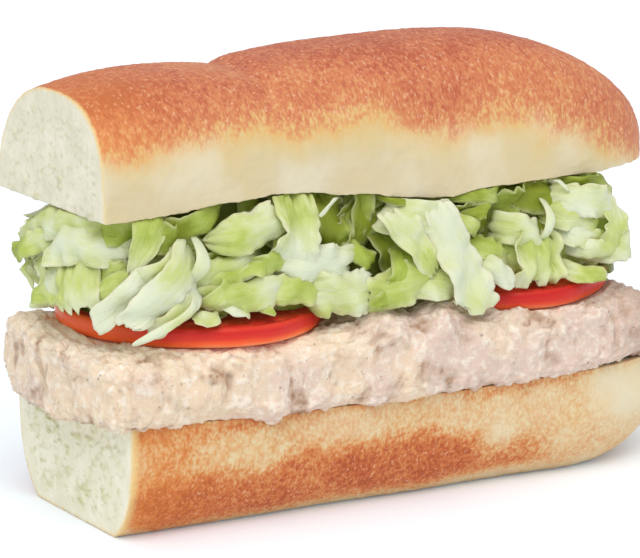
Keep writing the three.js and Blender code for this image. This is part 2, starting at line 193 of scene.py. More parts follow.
# %% Wires and recipes
class Wire:
    def __init__(self, recipe, socket):
        self.recipe = recipe
        self.socket = socket

    def sum(self, operation, first, second):
        settings = {"operation": operation}
        return self.recipe.add("ShaderNodeMath", settings, {0: first, 1: second})

    def __add__(self, other):
        return self.sum("ADD", self, other)

    def __radd__(self, other):
        return self.sum("ADD", other, self)

    def __sub__(self, other):
        return self.sum("SUBTRACT", self, other)

    def __rsub__(self, other):
        return self.sum("SUBTRACT", other, self)

    def __mul__(self, other):
        return self.sum("MULTIPLY", self, other)

    def __rmul__(self, other):
        return self.sum("MULTIPLY", other, self)


class Recipe:
    def __init__(self, tree):
        self.tree = tree
        self.tree.nodes.clear()

    def add(self, kind, settings=None, sockets=None, out=0):
        node = self.tree.nodes.new(kind)
        settings = dict(settings or {})
        stops = settings.pop("stops", None)
        for key, value in settings.items():
            setattr(node, key, value)
        if stops:
            elements = node.color_ramp.elements
            while len(elements) < len(stops):
                elements.new(1)
            for element, (place, tint) in zip(elements, stops):
                element.position = place
                element.color = tint
        for key, value in (sockets or {}).items():
            if isinstance(value, Wire):
                self.tree.links.new(value.socket, node.inputs[key])
            else:
                node.inputs[key].default_value = value
        return Wire(self, node.outputs[out] if node.outputs else None)


def shade(red, green, blue):
    """A colour as it looks on a screen, from 0 to 255, as the renderer counts light."""
    screen = [value / 255 for value in (red, green, blue)]
    light = [((v + 0.055) / 1.055) ** 2.4 if v > 0.04 else v / 12.92 for v in screen]
    return (*light, 1)


# %% [markdown]
# Every finish here needs the same few things: the place on the piece in millimetres, noise of
# a given size, a number kept at the points, and two colours mixed. `Finish` gives them names.

# %% What finishes share
class Finish(Recipe):
    def __init__(self, name):
        self.material = bpy.data.materials.new(name)
        self.material.use_nodes = True
        super().__init__(self.material.node_tree)
        place = self.add("ShaderNodeTexCoord", out="Object")
        self.place = self.add("ShaderNodeVectorMath", {"operation": "SCALE"}, {0: place, "Scale": 1 / MM})
        self.x = self.add("ShaderNodeSeparateXYZ", None, {0: self.place}, out="X")

    def number(self, name):
        return self.add("ShaderNodeAttribute", {"attribute_name": name}, out="Fac")

    def noise(self, size, detail=2, stretch=(1, 1, 1), rough=0.5):
        """Noise from 0 to 1 with spots about `size` mm wide, longer where stretch is more."""
        share = tuple(1 / s for s in stretch)
        where = self.add("ShaderNodeVectorMath", {"operation": "MULTIPLY"}, {0: self.place, 1: share})
        sockets = {"Vector": where, "Scale": 0.5 / size, "Detail": detail, "Roughness": rough}
        return self.add("ShaderNodeTexNoise", None, sockets)

    def between(self, wire, low, high):
        """0 below low and 1 above high, smoothly."""
        settings = {"interpolation_type": "SMOOTHSTEP"}
        sockets = {"Value": wire, "From Min": low, "From Max": high}
        return self.add("ShaderNodeMapRange", settings, sockets)

    def blend(self, share, first, second):
        settings = {"data_type": "RGBA"}
        return self.add("ShaderNodeMix", settings, {0: share, 6: first, 7: second}, out=2)

    def ramp(self, wire, *stops):
        return self.add("ShaderNodeValToRGB", {"stops": stops}, {0: wire}, out="Color")

    def bump(self, height, depth):
        """depth is how high the full height stands, in millimetres."""
        sockets = {"Strength": 1, "Distance": depth * MM, "Height": height}
        return self.add("ShaderNodeBump", None, sockets, out="Normal")

    def serve(self, shader):
        self.add("ShaderNodeOutputMaterial", None, {"Surface": shader})
        return self.material

    def body(self, **sockets):
        named = {key.replace("_", " "): value for key, value in sockets.items()}
        return self.add("ShaderNodeBsdfPrincipled", None, named)


# %% [markdown]
# The picture is taken from a little to the left of the front, a little from above and with a
# long lens, which keeps the two ends of the roll almost the same size. The table is pale and
# the light is soft: a white room with one wide lamp above.

# %% Camera, light and table
CAMERA_LEFT = math.radians(30)
CAMERA_ABOVE = math.radians(12)
CAMERA_AWAY = 941.3
LOOKS_AT = Vector((-14.55, 0, 55.7))
back = Vector((
    -math.sin(CAMERA_LEFT) * math.cos(CAMERA_ABOVE),
    -math.cos(CAMERA_LEFT) * math.cos(CAMERA_ABOVE),
    math.sin(CAMERA_ABOVE),
))
camera = bpy.data.objects.new("camera", bpy.data.cameras.new("camera"))
camera.data.sensor_width = 36
camera.data.lens = 196.9
camera.location = (LOOKS_AT + back * CAMERA_AWAY) * MM
camera.rotation_euler = back.to_track_quat("Z", "Y").to_euler()
bpy.context.scene.collection.objects.link(camera)
bpy.context.scene.camera = camera
bpy.context.scene.view_settings.view_transform = "Standard"

room = bpy.data.worlds.new("white_room")
room.use_nodes = True
room.node_tree.nodes["Background"].inputs["Color"].default_value = (0.96, 0.98, 1, 1)
room.node_tree.nodes["Background"].inputs["Strength"].default_value = 0.72
bpy.context.scene.world = room

lamp = bpy.data.objects.new("wide_lamp", bpy.data.lights.new("wide_lamp", "SUN"))
lamp.data.energy = 1.5
lamp.data.angle = math.radians(50)
lamp.data.color = (1, 0.98, 0.95)
lamp.rotation_euler = Vector((-0.35, -0.55, 1)).to_track_quat("Z", "Y").to_euler()
bpy.context.scene.collection.objects.link(lamp)

TABLE_HALF = 4000
TABLE_UP = -0.2
corner_ways = [(-1, -1), (1, -1), (1, 1), (-1, 1)]
table_corners = [(x * TABLE_HALF, y * TABLE_HALF, TABLE_UP) for x, y in corner_ways]
pale = Finish("pale_table")
lifted = {"Emission_Color": shade(180, 215, 255), "Emission_Strength": 0.11}
pale_table = pale.serve(pale.body(Base_Color=shade(246, 251, 255), Roughness=0.9, **lifted))
table = make_piece("table", table_corners, [(0, 1, 2, 3)], pale_table)
table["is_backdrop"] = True

# %% [markdown]
# ## The bread
# Both halves of the roll are skins of rings along X. Each ring is a baked arc and a sliced
# side. The cut end is closed by ever smaller copies of the first ring, so that it has enough
# points for real pores. Three numbers are kept: crust is 1 where it is baked and 0 where it
# is crumb, bake is how brown, and depth is how far the crumb is from the crust.

# %% A loaf from its rings
UNEVEN = 0.7
ARC_STEPS = 150
SLICED_STEPS = 56
CUT_ROWS = 44
STRAIGHT_RINGS = 118
END_RINGS = 64
EDGE_ROUND = 0.5
EDGE_CRUST = 0.6


def arc_turns():
    """Turns from the front edge over the arc to the back edge, closer at both edges."""
    share = np.linspace(0, 1, ARC_STEPS + 1)
    return math.pi * (0.5 - 0.5 * np.cos(math.pi * share))


def loaf_stations(cut, round_from, tip):
    """Where the rings stand along X, closer towards the tip."""
    along = np.linspace(cut, round_from, STRAIGHT_RINGS, endpoint=False)
    end = mix(round_from, tip, np.sin(np.linspace(0, 1, END_RINGS) * math.pi * 0.495))
    return np.concatenate([[cut + EDGE_ROUND * 0.3, cut + EDGE_ROUND], along[1:], end])


def close_cut(ring, cut, middle):
    """Rows from near the middle of the cut face to its edge. The last one lies just inside it."""
    inset = np.linspace(1, 0, CUT_ROWS, endpoint=False)[1:] ** 0.9
    inset[-1] = 0.02
    share = 1 - inset
    rows = middle + (ring - middle) * share[:, None, None]
    rows[..., 0] = cut
    return rows


def crust_depth(rows, arc_points):
    """How far each point is from the baked arc. Every third point of the arc is near enough."""
    flat = rows.reshape(-1, 1, 3)[..., 1:]
    away = np.linalg.norm(flat - arc_points[None, ::3, 1:], axis=-1)
    return away.min(1).reshape(rows.shape[:2])


def loaf(size, arc, half, sliced_z, bake):
    """arc(x, turn) gives the baked points. Returns the rows and the three numbers."""
    cut = size["cut"]
    middle_y = size["middle"]
    xs = loaf_stations(cut, size["round_from"], size["tip"])[:, None]
    y, z = arc(xs, arc_turns()[None])
    share = np.linspace(1, -1, SLICED_STEPS + 1)[None, 1:-1]
    side_y = middle_y + half(xs) * share
    side_z = sliced_z(xs) + 0 * share
    y = np.concatenate([y, side_y], 1)
    z = np.concatenate([z, side_z], 1)
    rings = np.stack([xs + 0 * y, y, z], -1)
    on_arc = np.arange(rings.shape[1]) <= ARC_STEPS
    crust = np.where(on_arc, 1.0, 0.0)[None] + 0 * y
    depth = np.where(on_arc, 0, half(xs) - np.abs(y - middle_y))
    first = rings[0].copy()
    cap = close_cut(first, cut, np.array([cut, middle_y, z[0].mean()]))
    cap_depth = crust_depth(cap, first[on_arc])
    rows = np.concatenate([cap, rings])
    crust = np.concatenate([0 * cap_depth, crust])
    depth = np.concatenate([cap_depth, depth])
    crust[len(cap)] *= EDGE_CRUST
    browned = bake(rows[..., 0], rows[..., 1], rows[..., 2])
    return rows, {"crust": crust, "bake": browned, "depth": depth}


# %% [markdown]
# Pores break up the cut crumb, so they are made in the mesh. Where two sizes of lumps meet,
# the surface stands out by up to half a millimetre and the finish is darker, painted shade that
# reads as pores at the distance of the picture. The crust gets a finer roughness of its own.

# %% Pores and roughness
PORE_RELIEF = 0.55
CRUST_ROUGH = 0.12
CRUMB_ROUGH = 0.14


def bake_relief(piece):
    points = points_of(piece)
    crust = np.empty(len(points), np.float32)
    depth = np.empty(len(points), np.float32)
    piece.data.attributes["crust"].data.foreach_get("value", crust)
    piece.data.attributes["depth"].data.foreach_get("value", depth)
    x, y, z = points.T
    coarse = lumps(x, y * 0.6, z, 2.2)
    fine = lumps(x + 50, y * 0.6, z, 1.1)
    inside = ease(1.5, 6, depth) * (1 - crust)
    pores = ease(0.15, 0.7, 0.45 * coarse + 0.6 * fine) * inside
    rough = crust * CRUST_ROUGH * (lumps(x * 1.6, y, z * 0.8, 1.8) + lumps(x * 1.5, y, z, 0.9))
    crumb = (1 - crust) * CRUMB_ROUGH * lumps(x, y, z, 1.6) * ease(0.2, 1.5, depth)
    height = PORE_RELIEF * pores - rough - crumb
    set_points(piece, points + normals_of(piece) * height[:, None])
    kept = piece.data.attributes.new("pores", "FLOAT", "POINT")
    kept.data.foreach_set("value", pores.astype(np.float32))
    print(piece.name, "has pores on", int((pores > 0.5).sum()), "points")


# %% [markdown]
# The crust is not one brown. From pale dough it goes through gold and orange to red-brown,
# which is a ramp of colours along the bake number. Fine noise, drawn out the way the dough
# stretched, breaks it into flecks, and its lighter specks are painted highlights. Towards the cut
# it is a warmer orange, with a pale margin where the knife went. The crumb is almost white,
# with painted shade in its pores in a greener grey.

# %% Crust and crumb
def bread_finish(name, cut, reach, crust_stops, grainy, fleck_stretch, crumb, pore):
    """reach is the width of the pale margin at the cut, and grainy the strength of the flecks."""
    bread = Finish(name)
    browned = bread.number("bake")
    flecks = bread.between(bread.noise(0.42, 1, fleck_stretch), 0.3, 0.7)
    grains = bread.between(bread.noise(0.95, 2, fleck_stretch), 0.3, 0.7)
    clouds = bread.noise(9, 2)
    grain = (flecks - 0.5) * grainy + (grains - 0.5) * grainy * 0.8
    shown = bread.between(browned, 0.08, 0.55)
    crust = bread.ramp(browned + grain * shown + (clouds - 0.5) * 0.25, *crust_stops)
    # Lighter specks on the crust are painted highlights, standing in for glints on its bumps.
    painted_glints = bread.between(bread.noise(0.4, 1, fleck_stretch), 0.6, 0.72) * shown
    crust = bread.blend(painted_glints * 0.4, crust, shade(248, 204, 164))
    warm = (1 - bread.between(bread.x, cut, cut + 36)) * shown
    crust = bread.blend(warm * 0.32, crust, shade(229, 138, 48))
    dusty = bread.between(bread.noise(11, 3), 0.42, 0.66) * (1 - shown)
    crust = bread.blend(dusty * 0.5, crust, shade(230, 222, 200))
    margin = 1 - bread.between(bread.x + bread.noise(2, 2), cut + 0.4, cut + reach)
    crust = bread.blend(margin * (0.2 + shown * 0.6), crust, shade(240, 210, 142))
    crumb_colour = bread.ramp(bread.noise(3.2, 3), (0.3, crumb[0]), (0.7, crumb[1]))
    # The pore colour is painted shade: the pores and fine holes are darkened to a greener grey.
    holes = bread.between(bread.noise(0.8, 2, (1, 1.8, 1)), 0.53, 0.68)
    inner = bread.between(bread.number("depth"), 1.5, 6)
    spots = bread.number("pores") * 0.6 + holes * inner * 0.4
    crumb_colour = bread.blend(spots, crumb_colour, pore)
    rim = 1 - bread.between(bread.number("depth"), 0.2, 1.6)
    crumb_colour = bread.blend(rim * 0.7, crumb_colour, shade(240, 208, 146))
    is_crust = bread.number("crust")
    colour = bread.blend(is_crust, crumb_colour, crust)
    normal = bread.bump((flecks + grains) * (0.12 + shown * 0.38), 0.22)
    body = bread.body(Base_Color=colour, Roughness=0.85 - is_crust * 0.3, Normal=normal,
                      Specular_IOR_Level=0.3)
    return bread.serve(body)


# %% [markdown]
# Both halves of the roll take the same steps: rings, skin, relief, and last the plain node
# that the piece stands in for. The arc of the upper half goes over the top and that of the
# lower half goes below, so only the upper one is clockwise seen from the round end.

# %% Half a roll
def half_roll(name, node, size, shape, bake, finish, clockwise):
    """shape holds the arc, the half width and the height of the sliced side, as functions."""
    rows, numbers = loaf(size, *shape, bake)
    piece = skin_piece(name, rows, finish, numbers, clockwise)
    bake_relief(piece)
    belongs(piece, node)


# %% [markdown]
# ### The bottom bread
# It was baked standing on this side, so a red-brown band with a ragged upper edge runs along
# its foot and fades towards the round end. The band rises and dips where the real one does,
# and its foot is paler by the cut. The rest is mottled gold, and darker along the top edge
# under the tuna by painted shade.

# %% Bottom bread
BASE = {"cut": -88.5, "tip": 91.5, "round_from": 46, "half": 33.6, "middle": 0, "high": 29,
        "lift": 0.00028}
BAND_HIGH = 14.5


def base_end(x):
    """1 along the roll, falling to 0 over the round end."""
    return taper(x, BASE["round_from"], BASE["tip"], 2.3)


def base_top(x):
    return BASE["high"] + BASE["lift"] * x * x


def base_half(x):
    return BASE["half"] * base_end(x)


def base_arc(x, turn):
    t = base_end(x)
    top = base_top(x)
    y = -base_half(x) * bend(np.cos(turn), 2 / 3)
    round_part = np.maximum(np.sin(turn), 0)
    sag = top * 1.12 * t * round_part ** (2 / 3)
    uneven = UNEVEN * lumps(x, 28 * turn, 3, 26) * round_part**0.5 * t
    return y + np.sign(y) * uneven, np.maximum(top - sag, 0)


def base_bake(x, y, z):
    edge = BAND_HIGH + 3 * lumps(x, y, z, 17) + 1.6 * lumps(x, 5, z, 6)
    edge = edge + 2 * hump(x, -62, 16) + 5 * hump(x, -36, 14) + 6 * hump(x, 0, 10) - 4 * hump(x, 25, 12)
    foot = 2.3 + 1.7 * ease(-70, 10, x) + 1.6 * hump(x, -88, 6) + 1.5 * hump(x, 30, 14)
    band = ease(foot - 3, foot + 2, z) * (1 - ease(edge - 5, edge + 4, z))
    fades = 1 - ease(24, 50, x + 6 * lumps(x, y, z, 14))
    gold = 0.38 + 0.1 * lumps(x, y, z, 11) - 0.1 * ease(10, 50, x) * ease(4, 18, z)
    gold = gold - 0.16 * ease(45, 80, x) * ease(10, 24, z)
    near_cut = 0.12 * (1 - ease(-80, -50, x)) - 0.16 * hump(x, -87, 6) * ease(13, 4, z)
    # Painted shade: the crust is darker along its top edge, where the tuna above shades it.
    painted_edge_shade = 0.22 * ease(25, 30, z + 2.5 * lumps(x, 1, 1, 7))
    dark = 0.46 + 0.12 * lumps(x, y, z, 13) + 0.08 * hump(x, -42, 10)
    return gold + dark * band * fades + near_cut + painted_edge_shade


base_crust = [(0.1, shade(230, 212, 174)), (0.26, shade(227, 203, 158)), (0.42, shade(222, 180, 126)),
              (0.62, shade(214, 142, 82)), (0.82, shade(200, 108, 56)), (1, shade(176, 82, 40))]
base_finish = bread_finish("base_bread", BASE["cut"], 3.6, base_crust, 0.24, (1, 1, 1.3),
                           [shade(231, 225, 197), shade(243, 237, 216)], shade(200, 196, 144))
half_roll("bottom_bread", "bread_bottom", BASE, (base_arc, base_half, base_top), base_bake,
          base_finish, clockwise=False)

# %% [markdown]
# ### The top bread
# It is a long dome with a shallow crease near the cut. The oven browned its top, and its sides
# stayed pale dough where it touched the next roll. The line between wanders along the roll.
# A few patches stayed lighter. The end by the cut is browned the most, and the ridge is
# darkest, partly browned and partly painted shade along the top.

# %% Top bread
CROWN = {"cut": -91.5, "tip": 88.5, "round_from": 24, "narrow_from": 36, "half": 31.5, "middle": 6,
         "under": 82, "first_top": 116.2, "second_top": 120.4, "crease": -39.5}
BROWN_X = [-92, -60, -30, 0, 30, 60, 75, 88]
BROWN_HEIGHT = [16.8, 17.3, 16.3, 17.2, 15.8, 9.2, 1, -8]


def crown_under(x):
    torn = 0.45 * lumps(x, 2, 7, 6) + 0.3 * lumps(x, 1, 3, 2.3)
    return CROWN["under"] + 3.4 * hump(x, -44, 26) - 1.8 * hump(x, 8, 14) + torn


def crown_high(x):
    first = CROWN["first_top"] - 0.0045 * (x + 64) ** 2 * np.where(x < -64, 1.25, 0.6)
    second = CROWN["second_top"] - 0.0016 * (x - 12) ** 2
    top = mix(first, second, ease(CROWN["crease"] - 3, CROWN["crease"] + 4, x))
    pinch = 0.6 * hump(x, CROWN["crease"], 4)
    return (top - pinch - crown_under(x)) * taper(x, CROWN["round_from"], CROWN["tip"], 2.4)


def crown_half(x):
    return CROWN["half"] * taper(x, CROWN["narrow_from"], CROWN["tip"], 2.1)


def crown_arc(x, turn):
    power = np.where(turn < math.pi / 2, 0.64, 0.9)
    half = crown_half(x)
    round_part = np.maximum(np.sin(turn), 0)
    y = -half * bend(np.cos(turn), power)
    uneven = UNEVEN * lumps(x, 30 * turn, 9, 24) * round_part**0.5
    z = crown_under(x) + crown_high(x) * round_part**power + uneven
    return CROWN["middle"] + y + uneven * y / half, z


def crown_bake(x, y, z):
    rise = z - crown_under(x)
    line = np.interp(x, BROWN_X, BROWN_HEIGHT) + 2 * lumps(x, y, z, 12) + 1.2 * lumps(x, 3, z, 4)
    brown = 0.4 * ease(line - 10, line + 2, rise) + 0.6 * ease(line - 4, line + 10, rise)
    patch = 0.22 * hump(x, -10, 7) * hump(rise, 21, 5) - 0.07 * hump(x, -46, 12) * hump(rise, 18, 8)
    patch = patch + 0.07 * (hump(x, -70, 12) * hump(rise, 22, 6) + hump(x, 48, 12) * hump(rise, 20, 7))
    # The first term darkens the ridge, partly real browning and partly painted shade along the top; the
    # second browns the end by the cut.
    top = 0.14 * ease(30, 37, rise) + 0.18 * hump(x, -86, 13) * ease(25, 30, rise)
    browned = brown * (0.66 + 0.12 * lumps(x, y, z, 16) + 0.06 * lumps(x, y, z, 7)) - patch + top
    return 0.03 + browned


crown_crust = [(0.0, shade(213, 196, 158)), (0.13, shade(216, 193, 142)), (0.28, shade(222, 180, 114)),
               (0.42, shade(217, 152, 100)), (0.56, shade(210, 131, 85)), (0.76, shade(200, 114, 78)),
               (0.94, shade(182, 92, 62))]
crown_finish = bread_finish("crown_bread", CROWN["cut"], 1.6, crown_crust, 0.27, (1, 1.7, 1.7),
                            [shade(222, 215, 190), shade(237, 230, 208)], shade(200, 193, 152))
half_roll("top_bread", "bread_top", CROWN, (crown_arc, crown_half, crown_under), crown_bake,
          crown_finish, clockwise=True)

# %% [markdown]
# ## The tomato slices
# Each is a disc with a rounded skin rim, tipped a little as it lies. The cut faces have a firm
# wall all round and softer wet hollows inside, so the face dips there.

# %% Tomato slices
TOMATO = {"radius": 34.8, "thick": 5.2}
TOMATO_PLACES = {
    "tomato_slice_left": {"x": -54.5, "y": 0, "z": 49.6, "lean": 1.5, "roll": 0.5},
    "tomato_slice_right": {"x": 37.5, "y": 1, "z": 50, "lean": 2.5, "roll": -1.5},
}
RIM_ROUND = 1.4
WALL = 8.5
FACE_RADII = np.concatenate([np.linspace(0.4, 33, 44), [33.6]])
RIM_ROWS = 15
SLICE_AROUND = 220


def slice_tilt(place):
    """The turn of a slice as it lies: lean lifts its back edge, and roll its left edge."""
    lean = math.radians(place["lean"])
    roll = math.radians(place["roll"])
    tip = np.array([[1, 0, 0], [0, math.cos(lean), -math.sin(lean)], [0, math.sin(lean), math.cos(lean)]])
    spin = np.array([[math.cos(roll), 0, math.sin(roll)], [0, 1, 0], [-math.sin(roll), 0, math.cos(roll)]])
    return spin @ tip


def slice_height(place, x, y, offset):
    """The height of the slice's middle plane at x and y, moved up by offset."""
    nx, ny, nz = slice_tilt(place)[:, 2]
    middle = place["z"] + TOMATO["thick"] / 2
    return middle - (nx * (x - place["x"]) + ny * (y - place["y"])) / nz + offset


def hollows(radius, turn, chambers):
    """How deep the wet chambers lie below the firm wall and the spokes."""
    spoke = np.abs(np.sin(turn * chambers / 2)) ** 0.6
    return ease(0, 3, TOMATO["radius"] - WALL - radius) * ease(5, 9, radius) * spoke


def tomato_rows(place, chambers):
    turn = np.linspace(0, 2 * math.pi, SLICE_AROUND, endpoint=False)
    tilt = np.linspace(-math.pi / 2, math.pi / 2, RIM_ROWS)
    half = TOMATO["thick"] / 2
    rim_radius = TOMATO["radius"] - RIM_ROUND * (1 - np.cos(tilt))
    radius = np.concatenate([FACE_RADII, rim_radius, FACE_RADII[::-1]])[:, None]
    face = np.ones(len(FACE_RADII))
    side = np.concatenate([-face, 0 * tilt, face])[:, None]
    height = np.concatenate([-face * half, half * bend(np.sin(tilt), 0.6), face * half])[:, None]
    wobble = 0.5 * np.sin(3 * turn + chambers) + 0.25 * np.sin(7 * turn)
    wide = radius * (1 + wobble / TOMATO["radius"] * ease(0, 34, radius))
    x, y = wide * np.cos(turn), wide * np.sin(turn)
    wet = hollows(radius, turn, chambers) * np.abs(side)
    grain = 0.12 * lumps(x, y, side * 9, 2.2) * np.abs(side)
    z = height - side * 0.9 * wet + grain + 0 * turn
    skin = 1 - np.abs(side) * ease(0.4, 1.2, TOMATO["radius"] - radius) + 0 * turn
    rise = 0.5 + height / TOMATO["thick"] + 0 * turn
    plain = np.stack([x, y, z], -1)
    middle = np.array([place["x"], place["y"], place["z"] + half])
    return plain @ slice_tilt(place).T + middle, {"wet": wet, "peel": skin, "rise": rise}


# %% [markdown]
# Of each slice mostly the skin of the rim shows. Its colour follows the height: a thin pale
# line along the very bottom is a painted highlight of bounced light, orange above it, where
# light comes through, and red above. Noise drawn out along the rim breaks that up, the left end
# is made lighter and more orange by painted light, and a very slight glow stands for the light
# inside.

# %% Tomato finish
red = Finish("wet_tomato")
flesh_fibres = red.noise(1.2, 3)
flesh = red.ramp(flesh_fibres, (0.3, shade(206, 30, 32)), (0.55, shade(226, 54, 42)),
                 (0.75, shade(238, 104, 74)))
flesh = red.blend(red.number("wet"), flesh, shade(196, 52, 22))
rim_height = red.number("rise") + (red.noise(3, 2, (5, 5, 1)) - 0.5) * 0.5 + (red.noise(16) - 0.5) * 0.6
# The palest stop, along the very bottom of the rim, is a painted highlight of bounced light.
peel = red.ramp(rim_height, (0.04, shade(242, 142, 92)), (0.2, shade(240, 98, 46)),
                (0.42, shade(216, 52, 38)), (0.72, shade(200, 36, 36)), (0.95, shade(214, 56, 40)))
# Painted light: the left end of the rim is made lighter and more orange, where the lettuce shades it.
peel = red.blend((1 - red.between(red.x, -87, -76)) * 0.75, peel, shade(250, 108, 48))
peel = red.blend(red.between(red.x, -15, 15) * 0.4, peel, shade(184, 20, 26))
red_colour = red.blend(red.number("peel"), flesh, peel)
red_body = red.body(Base_Color=red_colour, Roughness=0.3, Normal=red.bump(flesh_fibres, 0.3),
                    Specular_IOR_Level=0.2, Subsurface_Weight=0.15, Subsurface_Scale=0.002,
                    Emission_Color=shade(226, 96, 56), Emission_Strength=0.05)
tomato_finish = red.serve(red_body)

# %% [markdown]
# The two slices are separate pieces. They differ in place, tilt and number of chambers.

# %% Both tomato slices
for chambers, (name, place) in zip((5, 6), TOMATO_PLACES.items()):
    rows, numbers = tomato_rows(place, chambers)
    tomato = skin_piece(name.replace("tomato_slice", "tomato"), rows, tomato_finish, numbers)
    belongs(tomato, name)

# %% [markdown]
# ## Where the layers touch
# Real layers lie on each other. Two helpers keep a soft layer out of the firm ones: points that
# would be inside the bread or a tomato slice are moved to just outside it.

# %% Keep clear of the neighbours
GAP = 0.3


def over_bread(points):
    x, y, z = points.T
    inside = np.abs(y) < base_half(x) + GAP
    floor = base_top(x) + GAP
    z = np.where(inside & (z < floor) & (x > BASE["cut"] - GAP) & (x < BASE["tip"]), floor, z)
    return np.stack([x, y, z], -1)


def inside_slice(place, x, y, spare):
    return np.hypot(x - place["x"], y - place["y"]) < TOMATO["radius"] + spare


def under_tomatoes(points):
    x, y, z = points.T.copy()
    for place in TOMATO_PLACES.values():
        roof = slice_height(place, x, y, -TOMATO["thick"] / 2 - GAP)
        near = inside_slice(place, x, y, GAP)
        z = np.where(near & (z > roof), roof, z)
    return np.stack([x, y, z], -1)


# %% [markdown]
# ## The tuna salad
# It is mashed fish in mayonnaise: soft lumps with creases between them, squeezed out past the
# bread. The large form is a ring skin again. The lumps follow a rule all over the surface, so
# Geometry Nodes raise them. A tree of nodes has named inputs, and its result is kept as a
# plain mesh, so that nothing is left to work out later.

# %% A helper that runs Geometry Nodes once
def node_tree(name, inputs):
    tree = bpy.data.node_groups.new(name, "GeometryNodeTree")
    tree.interface.new_socket("Geometry", in_out="INPUT", socket_type="NodeSocketGeometry")
    for label, (kind, value) in inputs.items():
        socket = tree.interface.new_socket(label, in_out="INPUT", socket_type="NodeSocket" + kind)
        socket.default_value = value
    tree.interface.new_socket("Geometry", in_out="OUTPUT", socket_type="NodeSocketGeometry")
    return tree


def run_nodes(piece, tree, values):
    """The plain mesh that the tree makes from the piece, with the given input values."""
    modifier = piece.modifiers.new(tree.name, "NODES")
    modifier.node_group = tree
    for socket in tree.interface.items_tree:
        if socket.in_out == "INPUT" and socket.name in values:
            modifier[socket.identifier] = values[socket.name]
    seen = piece.evaluated_get(bpy.context.evaluated_depsgraph_get())
    mesh = bpy.data.meshes.new_from_object(seen)
    piece.modifiers.remove(modifier)
    return mesh


# %% [markdown]
# The large form bulges where the layers above leave room: between the tomato slices, and a
# little round their rims. The deepest folds are placed one by one as the real ones lie, and
# small gaps follow the edge of the bread. Both are pressed in and kept as a number, which the
# colour uses for painted shade.

# %% The large form of the tuna
TUNA = {"start": -98, "square_to": -90, "round_from": 48, "end": 94.5, "front": -37.5, "back": 35.5,
        "low": 27, "high": 50.5, "slump": 0.5}
TUNA_MIDDLE = (TUNA["front"] + TUNA["back"]) / 2
TUNA_HALF = (TUNA["back"] - TUNA["front"]) / 2
# Each fold has its x and height, and how tall and wide it is, in millimetres.
FOLDS = [(-44, 39, 7, 0.9), (57, 40, 5, 0.9), (61, 46, 6, 1.4), (-62, 41, 3, 0.9), (-74, 45, 3, 0.9),
         (-3.5, 51, 3.5, 1.6), (9.5, 48, 4, 2.4)]


def tuna_top(x, y):
    """It is pushed up between the tomato slices, and thin at the round end."""
    top = TUNA["high"] + 2 * hump(x, -9, 12) - 6 * ease(66, 88, x)
    at_cut = (1 - ease(-92, -84, x)) * mix(-0.8, 0.6, ease(-2, 8, y))
    mounds = 2 * hump(x, -16, 9) + 5 * hump(x, 5.5, 6)
    for place in TOMATO_PLACES.values():
        rim = np.hypot(x - place["x"], y - place["y"])
        mounds = mounds + 0.6 * hump(rim, TOMATO["radius"] + 1, 1.3) * ease(-78, -66, x)
    return top + at_cut + mounds * ease(-16, -22, y)


def folds(x, y, z, low):
    """Deep folds in the front, each at its x and height, and gaps along the edge of the bread."""
    total = 0
    for at, up, tall, wide in FOLDS:
        total = total + hump(x + 1.4 * lumps(z, at, 3, 5), at, wide) * hump(z, up, tall)
    edge_gaps = hump(z, low + 2.2, 1.7) * ease(0.35, 0.65, lumps(x, 0, 0, 4.5))
    return (total + 2.2 * edge_gaps) * (y < -18)


def tuna_rows(slices=330, around=260):
    share = np.arange(slices + 1) / slices
    x = mix(TUNA["start"], TUNA["end"], 0.5 + 0.5008 * np.sin((2 * share - 1) * 1.51))[:, None]
    turn = (np.arange(around) / around * 2 * math.pi)[None]
    baked_end = taper(x, TUNA["round_from"], TUNA["end"], 2.4)
    cut_end = taper(-x, -TUNA["square_to"], -TUNA["start"], 2)
    half = TUNA_HALF * baked_end * cut_end
    low = TUNA["low"] + 2.4 * (1 - ease(-96, -76, x))
    low = low + 2.3 * ease(38, 62, x) + 2 * hump(x, -63, 12) - 2 * hump(x, -40, 9) - 0.8 * hump(x, 12, 10)
    low = low + lumps(x, 9, 9, 13) * ease(-82, -74, x)
    full = tuna_top(x, 0) - low
    high = full / 2 * mix(TUNA["slump"], 1, baked_end) * mix(0.8, 1, cut_end)
    squarer = np.where(np.sin(turn) < 0, 0.36, 0.5)
    y = half * bend(np.cos(turn), squarer)
    z = high * bend(np.sin(turn), squarer)
    push = 1.7 * lumps(x, y, z, 15) + 1.1 * lumps(x + 40, y, z, 7)
    length = np.maximum(np.hypot(y, z), 1e-6)
    out = 1 + push / length
    x, y, z = x + 0 * y, TUNA_MIDDLE + y * out, low + high + z * out
    z = z + (tuna_top(x, y) - tuna_top(x, 0)) * ease(40, 50, z)
    fold = folds(x, y, z, low)
    # Where the finish paints light along the top of the mash, which the tomato slices shade.
    painted_top_light = ease(42, 48.5, z)
    return np.stack([x, y + 1.2 * fold, z], -1), {"fold": fold, "painted_top_light": painted_top_light}


# %% [markdown]
# Cells of two sizes, drifted by noise so that they don't lie in rows, are raised in the
# middle and left low in the creases. Both heights are kept at the points, so that the colour
# can paint shade into the creases.

